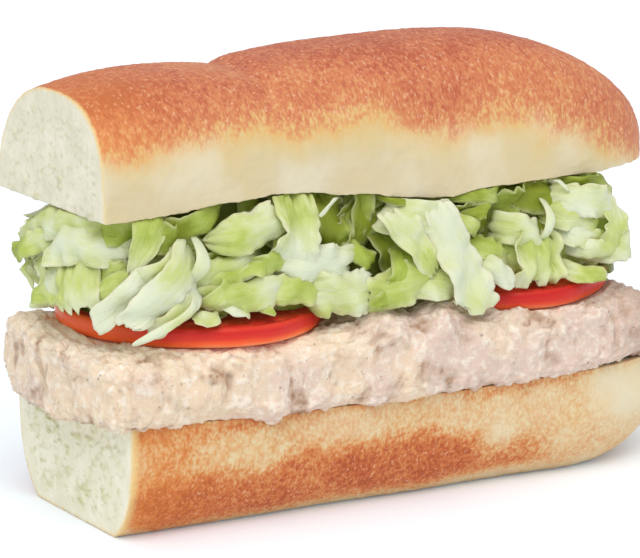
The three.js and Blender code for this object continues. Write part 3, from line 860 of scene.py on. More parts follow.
# %% Lumps and creases by Geometry Nodes
relief = node_tree("mash_relief", {
    "Lump size": ("Float", 7.0),
    "Lump height": ("Float", 1.3),
    "Crumb size": ("Float", 2.6),
    "Crumb height": ("Float", 0.5),
})
mash = Recipe(relief)
given = relief.nodes.new("NodeGroupInput")
wire = {socket.name: Wire(mash, socket) for socket in given.outputs if socket.name}
place_mm = mash.add("ShaderNodeVectorMath", {"operation": "SCALE"},
                    {0: mash.add("GeometryNodeInputPosition"), "Scale": 1 / MM})
wander = mash.add("ShaderNodeTexNoise", None, {"Vector": place_mm, "Scale": 0.16, "Detail": 3.0}, out="Color")
drift = mash.add("ShaderNodeVectorMath", {"operation": "MULTIPLY_ADD"},
                 {0: wander, 1: (7, 7, 7), 2: place_mm})


def cells(size):
    """Rounded cells about `size` mm across: 0 in the creases and 1 on top."""
    scale = mash.add("ShaderNodeMath", {"operation": "DIVIDE"}, {0: 1.0, 1: size})
    sockets = {"Vector": drift, "Scale": scale, "Smoothness": 0.35}
    away = mash.add("ShaderNodeTexVoronoi", {"feature": "SMOOTH_F1"}, sockets, out="Distance")
    return mash.add("ShaderNodeMapRange", None, {"Value": away, "From Min": 0.75, "From Max": 0.1})


lumps_wire = cells(wire["Lump size"])
crumbs_wire = cells(wire["Crumb size"])
fine_wire = mash.add("ShaderNodeTexNoise", None, {"Vector": place_mm, "Scale": 0.6, "Detail": 4.0})
rise = ((lumps_wire - 0.6) * wire["Lump height"] + (crumbs_wire - 0.6) * wire["Crumb height"]
        + (fine_wire - 0.5) * 2.2)
moved = mash.add("ShaderNodeVectorMath", {"operation": "SCALE"},
                 {0: mash.add("GeometryNodeInputNormal"), "Scale": rise * MM})
mesh_wire = wire["Geometry"]
for key, value in (("lump", lumps_wire), ("crumb", crumbs_wire)):
    mesh_wire = mash.add("GeometryNodeStoreNamedAttribute", {"data_type": "FLOAT", "domain": "POINT"},
                         {"Geometry": mesh_wire, "Name": key, "Value": value})
mesh_wire = mash.add("GeometryNodeSetPosition", None, {"Geometry": mesh_wire, "Offset": moved})
mesh_wire = mash.add("GeometryNodeRealizeInstances", None, {"Geometry": mesh_wire})

# %% [markdown]
# The colour is a pale cream, lightened along the top on the left by painted light where the
# tomato slice shades it, and pinker to the right, with painted shade darkening the round end.
# The creases and deep folds are darkened brown-grey by painted shade, with a few small dark bits
# and a soft wet shine.

# %% Tuna finish
fish = Finish("tuna_mash")
spread = fish.noise(14)
pinker = fish.between(spread + fish.between(fish.x, -60, 80) * 0.2, 0.45, 0.65)
pale_mash = fish.blend(pinker, shade(234, 209, 179), shade(224, 198, 181))
# Painted light: the top edge on the left is lightened to a pale cream, against the tomato's shade.
painted_top_light = fish.number("painted_top_light") * (1 - fish.between(fish.x, -35, 0))
pale_mash = fish.blend(painted_top_light * 0.5, pale_mash, shade(252, 232, 206))
flaky = fish.noise(1.3, 4, rough=0.65)
mash_colour = fish.blend(fish.between(flaky, 0.45, 0.7) * 0.8, pale_mash, shade(250, 238, 222))
# Painted shade: the creases between lumps and crumbs are darkened brown-grey.
crease = (1 - fish.between(fish.number("lump"), 0.05, 0.45)) * 0.5
crease = crease + (1 - fish.between(fish.number("crumb"), 0.0, 0.45)) * 0.35
crease = crease + (1 - fish.between(flaky, 0.3, 0.42)) * 0.4
crease = crease * fish.between(fish.noise(5), 0.4, 0.62) * (1 - fish.between(fish.x, -30, 20) * 0.2)
# The deep folds and the gaps along the bread are darkened further by painted shade.
crease = crease + fish.number("fold") * 0.4
mash_colour = fish.blend(fish.between(crease, 0, 1), mash_colour, shade(170, 132, 104))
flakes = fish.between(fish.noise(2.2, 4, (1.3, 1, 1), 0.7), 0.54, 0.7)
mash_colour = fish.blend(flakes * 0.26, mash_colour, shade(202, 170, 146))
# Painted shade: the round end is darker, as it faces away from the lamp.
mash_colour = fish.blend(fish.between(fish.x, 50, 74) * 0.75, mash_colour, shade(194, 164, 146))
specks = fish.between(fish.noise(0.9, 1), 0.72, 0.76)
mash_colour = fish.blend(specks * 0.55, mash_colour, shade(150, 124, 104))
fish_body = fish.body(Base_Color=mash_colour, Roughness=0.5, Normal=fish.bump(flaky, 0.7),
                      Specular_IOR_Level=0.35, Subsurface_Weight=0.1, Subsurface_Scale=0.002)
tuna_finish = fish.serve(fish_body)
mesh_wire = mash.add("GeometryNodeSetMaterial", None, {"Geometry": mesh_wire, "Material": tuna_finish})
mash.add("NodeGroupOutput", None, {0: mesh_wire})

# %% Tuna salad
rows, numbers = tuna_rows()
tuna = skin_piece("tuna_mash", rows, tuna_finish, numbers)
smooth_mesh = tuna.data
tuna.data = run_nodes(tuna, relief, {"Lump size": 7.5, "Lump height": 0.9, "Crumb height": 0.6})
bpy.data.meshes.remove(smooth_mesh)
set_points(tuna, over_bread(under_tomatoes(points_of(tuna))))
tuna.data.shade_smooth()
belongs(tuna, "tuna_salad")

# %% [markdown]
# ## The lettuce
# Shredded iceberg is curled strips of leaf in every direction, from pale green to the white of
# the ribs. The heap's outline, seen from above, is a box with round corners that spreads a
# little downwards. A strip is placed by how far along that outline it lies and how high.
# The heap is drawn in low at the back left corner and high at the round end.

# %% The heap's outline
HEAP = {"left": -92, "right": 76.4, "front": -27.5, "back": 32.5, "front_corner": 20, "back_corner": 9,
        "low": 53.5, "middle": 68, "high": 86, "splay": 0.22, "in_at_corner": 7, "in_at_end": 3.2}
QUARTER = math.pi / 2
heap_side = HEAP["back"] - HEAP["front"] - HEAP["front_corner"] - HEAP["back_corner"]
heap_end = QUARTER * (HEAP["front_corner"] + HEAP["back_corner"]) + heap_side
heap_right = HEAP["right"] - HEAP["front_corner"]
heap_left = HEAP["left"] + HEAP["front_corner"]
heap_back = HEAP["right"] - HEAP["left"] - 2 * HEAP["back_corner"]
heap_lap = heap_right - heap_left + 2 * heap_end + heap_back


def heap_edge(at):
    """x, y and the outward direction at that way along the outline from the front's middle."""
    near, far = HEAP["front_corner"], HEAP["back_corner"]
    lap_end = (heap_left + heap_right + heap_lap) / 2
    along = np.where(at > lap_end, at - heap_lap, at)
    right = along > heap_right
    way = np.where(right, 1, -1)
    turns_at = np.where(right, heap_right, heap_left)
    past = np.where(right, along - heap_right, heap_left - along)
    beside = past - QUARTER * near
    corner = beside - heap_side
    behind = corner - QUARTER * far
    first, last = past / near, corner / far
    where = [past < 0, beside < 0, corner < 0, behind < 0]
    x = np.select(where, [along, turns_at + way * near * np.sin(first), turns_at + way * near,
                          turns_at + way * (near - far + far * np.cos(last))],
                  turns_at + way * (near - far - behind))
    y = np.select(where, [HEAP["front"], HEAP["front"] + near * (1 - np.cos(first)),
                          HEAP["front"] + near + beside, HEAP["back"] - far * (1 - np.sin(last))],
                  HEAP["back"])
    nx = np.select(where, [0, way * np.sin(first), way, way * np.cos(last)], 0)
    ny = np.select(where, [-1, -np.cos(first), 0, np.sin(last)], 1)
    return x, y, nx, ny


def heap_point(at, up, out):
    x, y, nx, ny = heap_edge(at)
    corner = ease(-84, -91, x) * ease(6, 22, y) * ease(67, 57, up)
    end = ease(60, 74, x) * ease(56, 66, up)
    drawn_in = HEAP["in_at_corner"] * corner + HEAP["in_at_end"] * end
    reach = out + HEAP["splay"] * (HEAP["middle"] - up) - drawn_in
    return np.stack([x + nx * reach, y + ny * reach, up + 0 * x], -1)


print("the heap's outline is", round(heap_lap), "mm round")

# %% [markdown]
# A leaf is a thin sheet. t runs along it from 0 to 1, and v across it from -1 to 1. Its middle
# line lies on the heap, may sweep round as it goes, and dips into the heap at both ends.
# Across that line the sheet turns by an angle: it rolls, twists, curls, folds at one line,
# has pleats, and its free edge is frilled. Adding up small steps in that direction gives a
# sheet that bends but never stretches, which is what a real leaf does.

# %% One leaf
PLAIN_LEAF = {
    "out": 2, "sweep": 0, "tuck": (6, 6), "ends": (0.6, 0.6), "square": 4, "wedge": 0, "cuts": (0, 0),
    "roll": -8, "twist": 0, "curl": 30, "fold": 0, "fold_at": 0.2, "pleats": 0, "wave": 14, "waves": 1.5,
    "frill": 26, "ragged": 0.18, "thick": 0.55, "pale": 0.45, "fade": 0, "lowest": 54.5,
}
FRILL_SPACING = 3.8
PLEAT_TURN = 55
CRINKLE_TURN = 24
CRUMPLE = 1.0


def running_sum(values, axis, zero_at):
    """The sum of the steps up to each place, counted from the place number zero_at."""
    steps = (values + np.roll(values, 1, axis)) / 2
    np.swapaxes(steps, 0, axis)[0] = 0
    total = np.cumsum(steps, axis)
    return total - np.take(total, [zero_at], axis)


def leaf_outline(leaf, t, v):
    """How wide the leaf is at t, with its own ragged edge on each side."""
    full = (1 - np.abs(2 * t - 1) ** leaf["square"]) ** 0.5
    ends = np.where(t < 0.5, *leaf["ends"])
    wide = leaf["wide"] * mix(ends, 1, full) * (1 - leaf["wedge"] * t)
    far = t * leaf["long"]
    edge = np.sign(v) * 9
    torn = 1.6 * lumps(far, edge, leaf["seed"], 5.5) + 0.7 * lumps(far, edge, leaf["seed"], 1.7)
    return wide * (1 + leaf["ragged"] * torn * v**2)


def leaf_turn(leaf, t, v):
    """The angle, in radians, by which the sheet is turned at each place across it."""
    far = t * leaf["long"]
    seed = leaf["seed"]
    angle = leaf["roll"] + leaf["twist"] * (t - 0.5) - leaf["curl"] * v / 2
    crease = leaf["fold_at"] + 0.25 * lumps(far, 0, seed, 9)
    angle = angle - leaf["fold"] * (np.tanh((v - crease) / 0.12) + 1) / 2
    if leaf["pleats"]:
        angle = angle + PLEAT_TURN * np.sin(math.pi * leaf["pleats"] * v + 0.6 * t)
    angle = angle + leaf["wave"] * np.sin(2 * math.pi * leaf["waves"] * t + 1.5 * v + seed)
    angle = angle + CRINKLE_TURN * lumps(far, v * leaf["wide"] / 2, seed * 3, 3.4)
    side = np.sign(v)
    beat = 2 * math.pi * far / FRILL_SPACING + seed + 2 * side + 2.5 * lumps(far, side * 7, seed, 6)
    strong = leaf["frill"] * (1 + 0.7 * lumps(far, side * 5, seed, 8))
    return np.radians(angle + strong * ease(0.35, 1, np.abs(v)) * np.sin(beat))


def leaf_sheet(leaf, t, v):
    rows, columns = t.shape
    heading = np.radians(leaf["heading"] + leaf["sweep"] * (t - 0.5))
    step = leaf["long"] / (rows - 1)
    at = leaf["at"] + running_sum(np.cos(heading), 0, rows // 2) * step
    up = leaf["up"] + running_sum(np.sin(heading), 0, rows // 2) * step
    tuck = np.where(t < 0.5, *leaf["tuck"])
    middle = heap_point(at, up, leaf["out"] - tuck * np.abs(2 * t - 1) ** 2.5)
    x, y, nx, ny = heap_edge(at)
    outward = np.stack([nx, ny, 0 * nx], -1)
    along = np.stack([-ny * np.cos(heading), nx * np.cos(heading), np.sin(heading)], -1)
    across = np.stack([ny * np.sin(heading), -nx * np.sin(heading), np.cos(heading)], -1)
    step = leaf_outline(leaf, t, v) / (columns - 1)
    angle = leaf_turn(leaf, t, v)
    a = running_sum(np.cos(angle) * step, 1, columns // 2)
    b = running_sum(np.sin(angle) * step, 1, columns // 2)
    skew = [math.tan(math.radians(cut)) for cut in leaf["cuts"]]
    torn = 0.1 * leaf["wide"] * lumps(v * leaf["wide"], 0, leaf["seed"] + 5, 2.2)
    shift = (1 - t) ** 3 * (skew[0] * a + torn) + t**3 * (skew[1] * a + torn)
    b = b + CRUMPLE * lumps(t * leaf["long"], a, leaf["seed"] * 7, 5.5)
    return middle + across * a[..., None] + outward * b[..., None] + along * shift[..., None]


# %% [markdown]
# A leaf may not cut into its firm neighbours. It stays over the tomato slices and under the
# top bread, also a little beside it, and is pressed into the soft tuna by two millimetres at
# most. At the back left corner the heap is lower, so the leaves there stay well below.

# %% Keep leaves between the layers
PRESSED_IN = 2
LEAF_GAP = 0.5
CORNER_ROOM = 7
BESIDE_CROWN = 7


def over_layers(points):
    x, y, z = points[..., 0], points[..., 1], points[..., 2]
    for place in TOMATO_PLACES.values():
        top = slice_height(place, x, y, TOMATO["thick"] / 2 + LEAF_GAP)
        z = np.where(inside_slice(place, x, y, 2 * GAP) & (z < top), top, z)
    floor = tuna_top(x, y) - PRESSED_IN
    on_tuna = np.abs(y - TUNA_MIDDLE) < TUNA_HALF - 1.5
    z = np.where(on_tuna & (z < floor), floor, z)
    low_corner = (1 - ease(-86, -70, x)) * ease(4, 22, y)
    roof = crown_under(x) - LEAF_GAP - CORNER_ROOM * low_corner
    beside = np.abs(y - CROWN["middle"]) - crown_half(x)
    below_crown = (beside < BESIDE_CROWN) & (x > CROWN["cut"] - 0.4)
    below_crown = below_crown | (low_corner > 0.1)
    z = np.where(below_crown & (z > roof), roof, z)
    return np.stack([x, y, z], -1)


# %% [markdown]
# A sheet has no thickness, so each leaf gets two sides a little apart, closed by a rim, and
# thins out towards its edges. All the leaves of a piece are joined in one mesh.

# %% Leaves as one mesh
def leaf_mesh(leaf, first_point, step):
    """Points, faces and numbers of one leaf with two sides and a rim."""
    seed = leaf["seed"]
    lengthwise = max(round(leaf["long"] / step / 2) * 2, 8)
    crosswise = max(round(leaf["wide"] / step / 2) * 2, 6)
    t, v = np.meshgrid(np.linspace(0, 1, lengthwise + 1), np.linspace(-1, 1, crosswise + 1), indexing="ij")
    middle = over_layers(leaf_sheet(leaf, t, v))
    middle[..., 2] = np.maximum(middle[..., 2], leaf["lowest"])
    lengthways, sideways = np.gradient(middle, axis=0), np.gradient(middle, axis=1)
    normal = np.cross(lengthways, sideways)
    normal /= np.maximum(np.linalg.norm(normal, axis=-1, keepdims=True), 1e-9)
    near_edge = np.maximum(np.abs(v), np.abs(2 * t - 1) ** 2)
    thick = leaf["thick"] * (1 - 0.6 * near_edge**4)[..., None] / 2
    points = np.stack([middle + normal * thick, middle - normal * thick]).reshape(-1, 3)
    i, j = np.meshgrid(np.arange(lengthwise), np.arange(crosswise), indexing="ij")
    wide = crosswise + 1
    a = (i * wide + j).ravel()
    b, c, d = a + wide, a + wide + 1, a + 1
    count = middle.shape[0] * middle.shape[1]
    faces = [np.stack([a, b, c, d], -1), np.stack([a, d, c, b], -1) + count]
    round_trip = np.concatenate([np.arange(wide), np.arange(1, lengthwise + 1) * wide + crosswise,
                                 lengthwise * wide + np.arange(crosswise)[::-1],
                                 np.arange(1, lengthwise)[::-1] * wide])
    after = np.roll(round_trip, -1)
    faces.append(np.stack([round_trip, after, after + count, round_trip + count], -1))
    along = t * leaf["long"]
    across = v * leaf["wide"] / 2
    pale = leaf["pale"] + leaf["fade"] * (t - 0.5) + 0.25 * lumps(along, across, seed, 9)
    numbers = {"along": along, "across": across, "pale": pale, "leaf": seed + 0 * t, "rim": near_edge**6}
    return points, np.concatenate(faces) + first_point, {k: np.tile(n.ravel(), 2) for k, n in numbers.items()}


def leaves_piece(name, leaves, finish, step):
    points, faces, numbers = [], [], {}
    count = 0
    for leaf in leaves:
        some, joined, kept = leaf_mesh(leaf, count, step)
        points.append(some)
        faces.append(joined)
        count += len(some)
        for key, values in kept.items():
            numbers.setdefault(key, []).append(values)
    merged = {key: np.concatenate(values) for key, values in numbers.items()}
    return make_piece(name, np.concatenate(points), np.concatenate(faces).tolist(), finish, merged)


# %% [markdown]
# Light passes through a thin leaf, so its finish mixes a plain surface with one that lets
# light through. Veins run along each leaf, which is why it reads the leaf's own numbers
# and not the place in the room. Torn edges catch the light and look almost white.

# %% Leaf finish
def leaf_finish(name, stops, through):
    leaf = Finish(name)
    sockets = {"X": leaf.number("along") * 0.35, "Y": leaf.number("across") * 1.1, "Z": leaf.number("leaf")}
    own_place = leaf.add("ShaderNodeCombineXYZ", None, sockets)
    streaks = leaf.add("ShaderNodeTexNoise", None, {"Vector": own_place, "Scale": 0.7, "Detail": 3.0})
    sockets = {"Vector": own_place, "Scale": 0.45, "Randomness": 0.9}
    vein_away = leaf.add("ShaderNodeTexVoronoi", {"feature": "DISTANCE_TO_EDGE"}, sockets, out="Distance")
    veins = 1 - leaf.between(vein_away, 0.0, 0.1)
    blotches = leaf.noise(6, 2)
    pale = leaf.number("pale") + (streaks - 0.5) * 0.35 + (blotches - 0.5) * 1.1 + veins * 0.06
    colour = leaf.ramp(pale, *stops)
    colour = leaf.blend(leaf.number("rim") * 0.5, colour, shade(252, 243, 216))
    normal = leaf.bump(streaks + veins * 0.3, 0.2)
    surface = leaf.body(Base_Color=colour, Roughness=0.4, Normal=normal, Specular_IOR_Level=0.3)
    glow = leaf.blend(0.35, colour, shade(214, 226, 110))
    inner_light = leaf.add("ShaderNodeBsdfTranslucent", None, {"Color": glow, "Normal": normal})
    share = through * (1 - 0.55 * leaf.between(pale, 0.3, 0.9))
    both = leaf.add("ShaderNodeMixShader", None, {0: share, 1: surface, 2: inner_light})
    return leaf.serve(both)


leaf_stops = [(0, shade(172, 184, 62)), (0.25, shade(206, 222, 104)), (0.48, shade(228, 237, 150)),
              (0.7, shade(233, 238, 187)), (0.92, shade(234, 239, 211))]
lettuce_finish = leaf_finish("lettuce_leaf", leaf_stops, 0.45)

# %% [markdown]
# The leaves that show from the front are placed one by one, as the photograph has them: the
# pale ones that hang out at the cut corner first, then along the front to the round end.
# The five numbers of each are its way along the outline, its height, its length and width,
# and its heading in degrees above level. The words after them say how it differs from a
# plain leaf, such as how far it stands out or how pale it is. Leaves in shadow under the top
# bread or deep between others have low pale values, which paint their shade into the colour.

# %% Leaves at the cut corner
MOST_SLANT = 32


def placed(at, up, long, wide, heading, **own):
    return {"at": at, "up": up, "long": long, "wide": wide, "heading": heading, **own}


def leaves_from(rows, seed):
    """Leaves with the cut of each end at its own slant, where the row does not set it."""
    draw = np.random.default_rng(seed)
    slants = draw.uniform(-MOST_SLANT, MOST_SLANT, (len(rows), 2)).round(1).tolist()
    return [{**PLAIN_LEAF, "seed": seed + i, "cuts": slants[i], **row} for i, row in enumerate(rows)]


cut_corner = [
    placed(-111, 78.5, 40, 9.5, 6, out=3.5, sweep=-12, tuck=(2, 6), ends=(0.8, 0.05), square=2, curl=60,
           wave=6, frill=8, ragged=0.08, pale=0.6, fade=-0.25),
    placed(-124, 71, 26, 7, 21, out=4, tuck=(3, 6), ends=(0.8, 0.4), curl=80),
    placed(-103.5, 75, 38, 12, 11, out=4, sweep=-55, roll=-12, fold=24, fold_at=-0.2, frill=8, ragged=0.08,
           pale=0.78),
    placed(-118, 65, 17, 8, -28, out=1.5, fold=40, pale=0.7),
    placed(-109, 66, 15, 14, -74, out=2.6, tuck=(5, 2), ends=(0.9, 0.9), cuts=(0, 0), curl=50, wave=6,
           frill=8, ragged=0.1, pale=0.7),
    placed(-97.5, 65, 13, 15, -71, out=3.4, tuck=(5, 1), ends=(0.9, 0.8), cuts=(0, 15), curl=40, wave=6,
           frill=8, ragged=0.1, pale=0.68),
    placed(-89.5, 65, 16, 7, 40, out=2.8, sweep=-100, roll=-24, curl=80, frill=10, pale=0.5),
    placed(-89, 66, 17, 12, 5, out=-0.2, pale=0.5),
    placed(-112, 61, 20, 7, 9, out=3, tuck=(3, 6), fold=50, pale=0.5),
    placed(-129, 62, 8, 2, -84, out=2.4, tuck=(5, 0), ends=(0.9, 0.2), frill=8, pale=0.5),
    placed(-124, 54.8, 8, 3, 14, out=1.5, pale=0.8),
    placed(-90, 79, 15, 8, -10, out=0.6, curl=-20, frill=8, pale=0.42),
    placed(-80.5, 76.8, 17, 13, -114, out=3.2, tuck=(5, 1), ends=(1, 0.5), wedge=0.75, cuts=(0, 0),
           twist=36, frill=8, pale=0.5, fade=0.6),
    placed(-75, 77, 17, 9, -12, out=0, curl=-30, pale=0.2),
    placed(-68, 79.3, 25, 8, 10, out=0.5, roll=14, frill=8, pale=0.08),
]
pale_blade = [
    placed(-76, 66, 24.5, 10.5, -132, out=5, tuck=(6, 0), ends=(0.5, 0.35), curl=24, wave=6, frill=8,
           thick=1, pale=0.85, fade=0.3, lowest=44),
    placed(-73, 59.6, 18, 6, -140, out=3.4, frill=8, thick=0.9, pale=0.7, lowest=48),
    placed(-85, 63.3, 18, 7.5, -132, out=4.5, tuck=(7, 0), ends=(0.6, 0.75), cuts=(0, 30), curl=20, frill=8,
           thick=1, pale=0.95, lowest=44),
    placed(-77, 70, 16, 6.5, -155, out=4, frill=8, thick=0.9, pale=0.75),
    placed(-75, 57.8, 20, 2.4, -146, out=5.5, tuck=(7, 0), ends=(0.6, 0.1), frill=4, thick=0.9, pale=0.9,
           lowest=44),
    placed(-67.3, 71.2, 11, 4.4, -108, out=5.6, curl=50, frill=6, thick=0.9, pale=0.95),
]
left_folds = [
    placed(-52.5, 78, 21, 11.5, 16, out=4, tuck=(5, 1), ends=(0.1, 0.75), square=3, twist=26, fold=30,
           fold_at=0, frill=10, pale=0.62, fade=0.4),
    placed(-58.5, 69.5, 25, 7.5, 20, out=2.2, fold=40, pale=0.65),
    placed(-57, 66.8, 21, 5, 15, out=3, fold=40, pale=0.58),
    placed(-52, 61.6, 28, 8.6, 2, out=3.5, tuck=(4, 5), curl=70, frill=14, pale=0.55, lowest=52),
    placed(-52, 68, 16, 4.5, 4, out=3.5, sweep=-70, roll=-30, frill=10, pale=0.55),
    placed(-61, 63, 12, 5, 41, out=3.5, pale=0.6),
    placed(-46.5, 68.5, 14, 7, 12, out=3, curl=60, pale=0.65),
    placed(-65.5, 57, 10, 5, -3, out=3.5, tuck=(1, 6), roll=-50, frill=8, pale=0.7),
    placed(-57.5, 57.8, 8, 3.4, -20, out=3, tuck=(6, 1), roll=-50, pale=0.85),
    placed(-49.5, 57.5, 6, 2.6, -24, out=3, tuck=(5, 0), ends=(0.6, 0.1), roll=-40, pale=0.4),
]

# %% [markdown]
# In the middle a leaf folded like a bowl lies beside a broad white rib that hangs down over
# the tuna, with leaves deep between them whose dark colour is painted shade.

# %% Leaves in the middle
middle_bowl = [
    placed(-38, 76, 21, 15, -98, out=2.4, tuck=(5, 3), ends=(0.8, 0.9), curl=50, pleats=1, frill=10,
           pale=0.66, fade=0.5),
    placed(-41, 75.5, 19, 6, -99, out=1, ends=(0.9, 0.8), curl=60, pale=0.15),
    placed(-32, 67.4, 24, 11, -5, out=4, cuts=(30, 25), curl=70, wave=12, frill=12, thick=0.8, pale=0.82,
           fade=-0.3),
    placed(-39, 60.8, 20, 8, -6, out=3.2, curl=80, pale=0.3),
    placed(-25.5, 58.8, 21, 14, -2, out=4, ends=(0.6, 0.8), curl=110, frill=14, pale=0.62, fade=0.5,
           lowest=52.6),
    placed(-17.4, 67, 11, 6, -39, out=1.4, curl=80, pale=0.15),
    placed(-28, 81.6, 8, 1.3, -141, out=3, tuck=(0, 0), curl=0, wave=0, frill=0, pale=1.0),
    # These three lie deep between the others; their low pale values are painted shade.
    placed(-25, 76, 17, 13, -88, out=-2, curl=-20, pale=0.1),
    placed(-14, 77, 17, 10, -101, out=-3, curl=-30, pale=0.04),
    placed(-7, 67, 15, 10, -65, out=-3, curl=-30, pale=0.04),
]
white_rib = [
    placed(0, 76, 20, 12, -10, out=4, ends=(0.7, 0.6), cuts=(30, 0), wave=8, frill=16, thick=0.8,
           pale=0.88),
    placed(-3.6, 70, 19, 11, -60, out=4.6, tuck=(3, 1), ends=(0.9, 0.7), wedge=0.45, curl=10, frill=10,
           thick=0.8, pale=0.84, fade=-0.2),
    placed(9, 64.2, 31, 10.5, -72, out=5.4, tuck=(3, 0.5), ends=(0.7, 0.95), wedge=-0.4, cuts=(0, -12),
           curl=14, wave=8, frill=8, thick=0.9, pale=1, lowest=50),
    placed(3.4, 58.2, 20, 9, -11, out=4.4, frill=8, pale=0.82),
    placed(-6, 60.2, 25, 11.6, 14, out=3.8, tuck=(1, 5), ends=(0.9, 0.6), curl=45, fold=20, fold_at=0,
           frill=16, pale=0.62, lowest=51),
    placed(-8, 62.5, 14, 7.5, 63, out=3.2, frill=30, pale=0.42),
    placed(-13, 57, 12, 6, 36, out=3.8, tuck=(1, 5), frill=44, pale=0.42),
    placed(-6, 80.6, 10, 2.6, -15, pale=0.3),
]

# %% [markdown]
# Towards the round end there are small tight curls on the right tomato slice, then a loose
# ruffle. All the placed leaves together are one mesh.

# %% Leaves towards the round end
small_curls = [
    placed(18, 75.8, 12, 5, 10, out=3, sweep=-100, roll=-30, curl=80, pale=0.15),
    placed(19.5, 80, 22, 5.5, -4, out=0, curl=-20, frill=8, pale=0.15),
    placed(14, 72.7, 13, 4.5, -27, out=3),
    placed(21.5, 65.2, 20, 8, -23, out=1.8, fold=40, pale=0.42),
    placed(31.5, 69.2, 14.5, 9, -14, out=3.2, ends=(0.85, 0.6), frill=8, thick=0.9, pale=0.85),
    placed(21, 60, 12, 6.5, -40, out=4.2, tuck=(6, 0), ends=(0.85, 0.05), square=2, frill=10, thick=0.9,
           pale=0.85, lowest=52),
    placed(34.4, 61.6, 13, 20, -95, out=3, tuck=(4, 2), ends=(0.85, 0.95), cuts=(0, 0), curl=0, pleats=3,
           frill=6, pale=0.6),
    placed(33, 62, 20, 12, -2, out=1.2, frill=30, pale=0.4),
]
end_ruffle = [
    placed(54, 75.4, 22, 9.5, -11, out=4, ends=(0.8, 0.9), curl=40, pale=0.82),
    placed(60, 66.8, 18, 8.5, -106, out=3.4, ends=(0.9, 0.7), curl=40, frill=28, pale=0.7),
    placed(38.8, 70.8, 12, 3, -108, out=4, curl=60, frill=8, thick=0.9, pale=0.8),
    placed(50, 71, 20, 8, -12, out=3.2, fold=30, frill=28, pale=0.38),
    placed(51.5, 65.5, 18, 7, -20, out=3, curl=50, pale=0.55),
    placed(62.5, 62, 17, 8, 4, out=3.2, curl=60, frill=22, pale=0.75),
    placed(50, 68, 14, 10, 0, out=1, fold=40, pale=0.33),
    placed(59, 66.3, 11, 9, 0, out=0, fold=-40, pale=0.35),
    placed(55, 62.3, 19, 5.5, -6, out=3, curl=60, frill=30, pale=0.68),
    placed(40.5, 77.5, 19, 11, -5, out=-1, curl=-20, fold=50, pale=-0.15),
    placed(54, 80.2, 15, 5.5, -3, out=1, roll=10, frill=10, pale=0.12),
    placed(49.5, 56.4, 13.5, 6.5, -17, out=4, tuck=(6, 1), ends=(0.7, 0.6), roll=-30, frill=8, pale=0.5),
    placed(45, 80.6, 6, 1.1, -45, out=3, tuck=(0, 0), curl=0, wave=0, frill=0, pale=1.0),
]
front_rows = cut_corner + pale_blade + left_folds + middle_bowl + white_rib + small_curls + end_ruffle
front_leaves = leaves_piece("lettuce_front", leaves_from(front_rows, 1), lettuce_finish, 0.55)
belongs(front_leaves, "lettuce_shreds")

# %% [markdown]
# The rest of the heap is filled by a rule: leaves of random length, width and heading, spread
# evenly round the outline in a few layers, the deepest first. Deep ones are given darker
# colours, painted shade. On the way along the outline the round end comes from about 56 to 133,
# the back until 283 and the cut end until 360, where the front begins again.

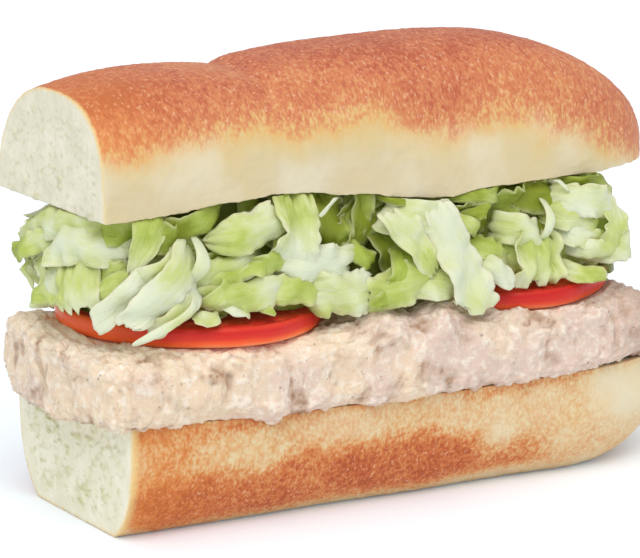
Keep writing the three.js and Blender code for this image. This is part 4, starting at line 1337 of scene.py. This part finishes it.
# %% Leaves by a rule
def filling(count, seed, start, end, out, pale, up=(59, 82)):
    """Leaves spread from start to end of the outline. out, pale and up are ranges to draw from."""
    draw = np.random.default_rng(seed)
    leaves = []
    for i in range(count):
        row = dict(at=mix(start, end, (i + draw.uniform(0.1, 0.9)) / count), up=draw.uniform(*up),
                   long=draw.uniform(16, 32), wide=draw.uniform(6, 12), heading=draw.uniform(-80, 80),
                   sweep=draw.uniform(-50, 50), out=draw.uniform(*out), curl=draw.uniform(-50, 90),
                   fold=draw.uniform(-50, 50), twist=draw.uniform(-40, 40), roll=draw.uniform(-35, 15),
                   pale=draw.uniform(*pale), fade=draw.uniform(-0.4, 0.4), frill=draw.uniform(8, 34),
                   ends=(draw.uniform(0.3, 0.9), draw.uniform(0.3, 0.9)),
                   tuck=(draw.uniform(2, 8), draw.uniform(2, 8)))
        leaves.append({**PLAIN_LEAF, "seed": seed + i, **row})
    return leaves


# Low pale ranges for the deeper layers paint the shade they lie in.
deep = filling(44, 300, heap_left, heap_right, (-6, -2), (-0.1, 0.4))
deep_end = filling(26, 350, heap_left - heap_end, heap_left, (-6, -2), (0.35, 0.75), (62, 77))
inner = filling(44, 400, 60, heap_lap - 140, (-8, -4), (0, 0.5), (62, 79))
right_end = filling(18, 450, 62, 102, (-7, -4), (0.3, 0.9), (64.5, 77))
behind = filling(44, 500, 98, heap_lap - 162, (0, 4), (0.1, 0.95), (60, 82))
left_end = filling(13, 600, heap_lap - 162, heap_lap - 126, (-5, -2), (0.55, 0.95), (59, 75))
filled_leaves = deep + deep_end + inner + right_end + behind + left_end
filled = leaves_piece("lettuce_filling", filled_leaves, lettuce_finish, 1.0)
belongs(filled, "lettuce_shreds")

# %% [markdown]
# Deep in the heap little light gets through. A lumpy dark core stands for the leaves that lie
# too deep to be seen, and shows only as the dark gaps between the others.

# %% Core of the heap
CORE_AROUND = 320
CORE_LEVELS = 30
CORE_IN = 8
at = np.linspace(0, heap_lap, CORE_AROUND, endpoint=False)[None]
up = np.linspace(HEAP["low"] - 1, HEAP["high"], CORE_LEVELS)[:, None]
rows = over_layers(heap_point(at + 0 * up, up + 0 * at, 2 * lumps(at, up, 5, 7) - CORE_IN))
# The core's dark olive colour is painted shade for the depth of the heap.
deep_stops = [(0.2, shade(112, 120, 46)), (0.8, shade(156, 164, 76))]
dark_finish = leaf_finish("lettuce_depth", deep_stops, 0.1)
none = 0 * (at + up)
core_numbers = {"along": at + none, "across": up + none, "pale": 0.4 + none, "leaf": none, "rim": none}
core = skin_piece("lettuce_core", rows, dark_finish, core_numbers)
belongs(core, "lettuce_shreds")

# %% [markdown]
# Last, the visual model's box is measured beside the plain model's.

# %% Measure and finish
boxes = {
    "plain": [list(corner) for corner in plain_box],
    "visual": [list(corner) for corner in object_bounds()],
}
for key, (low, high) in boxes.items():
    print(key, [round((b - a) / MM, 1) for a, b in zip(low, high)], "mm")
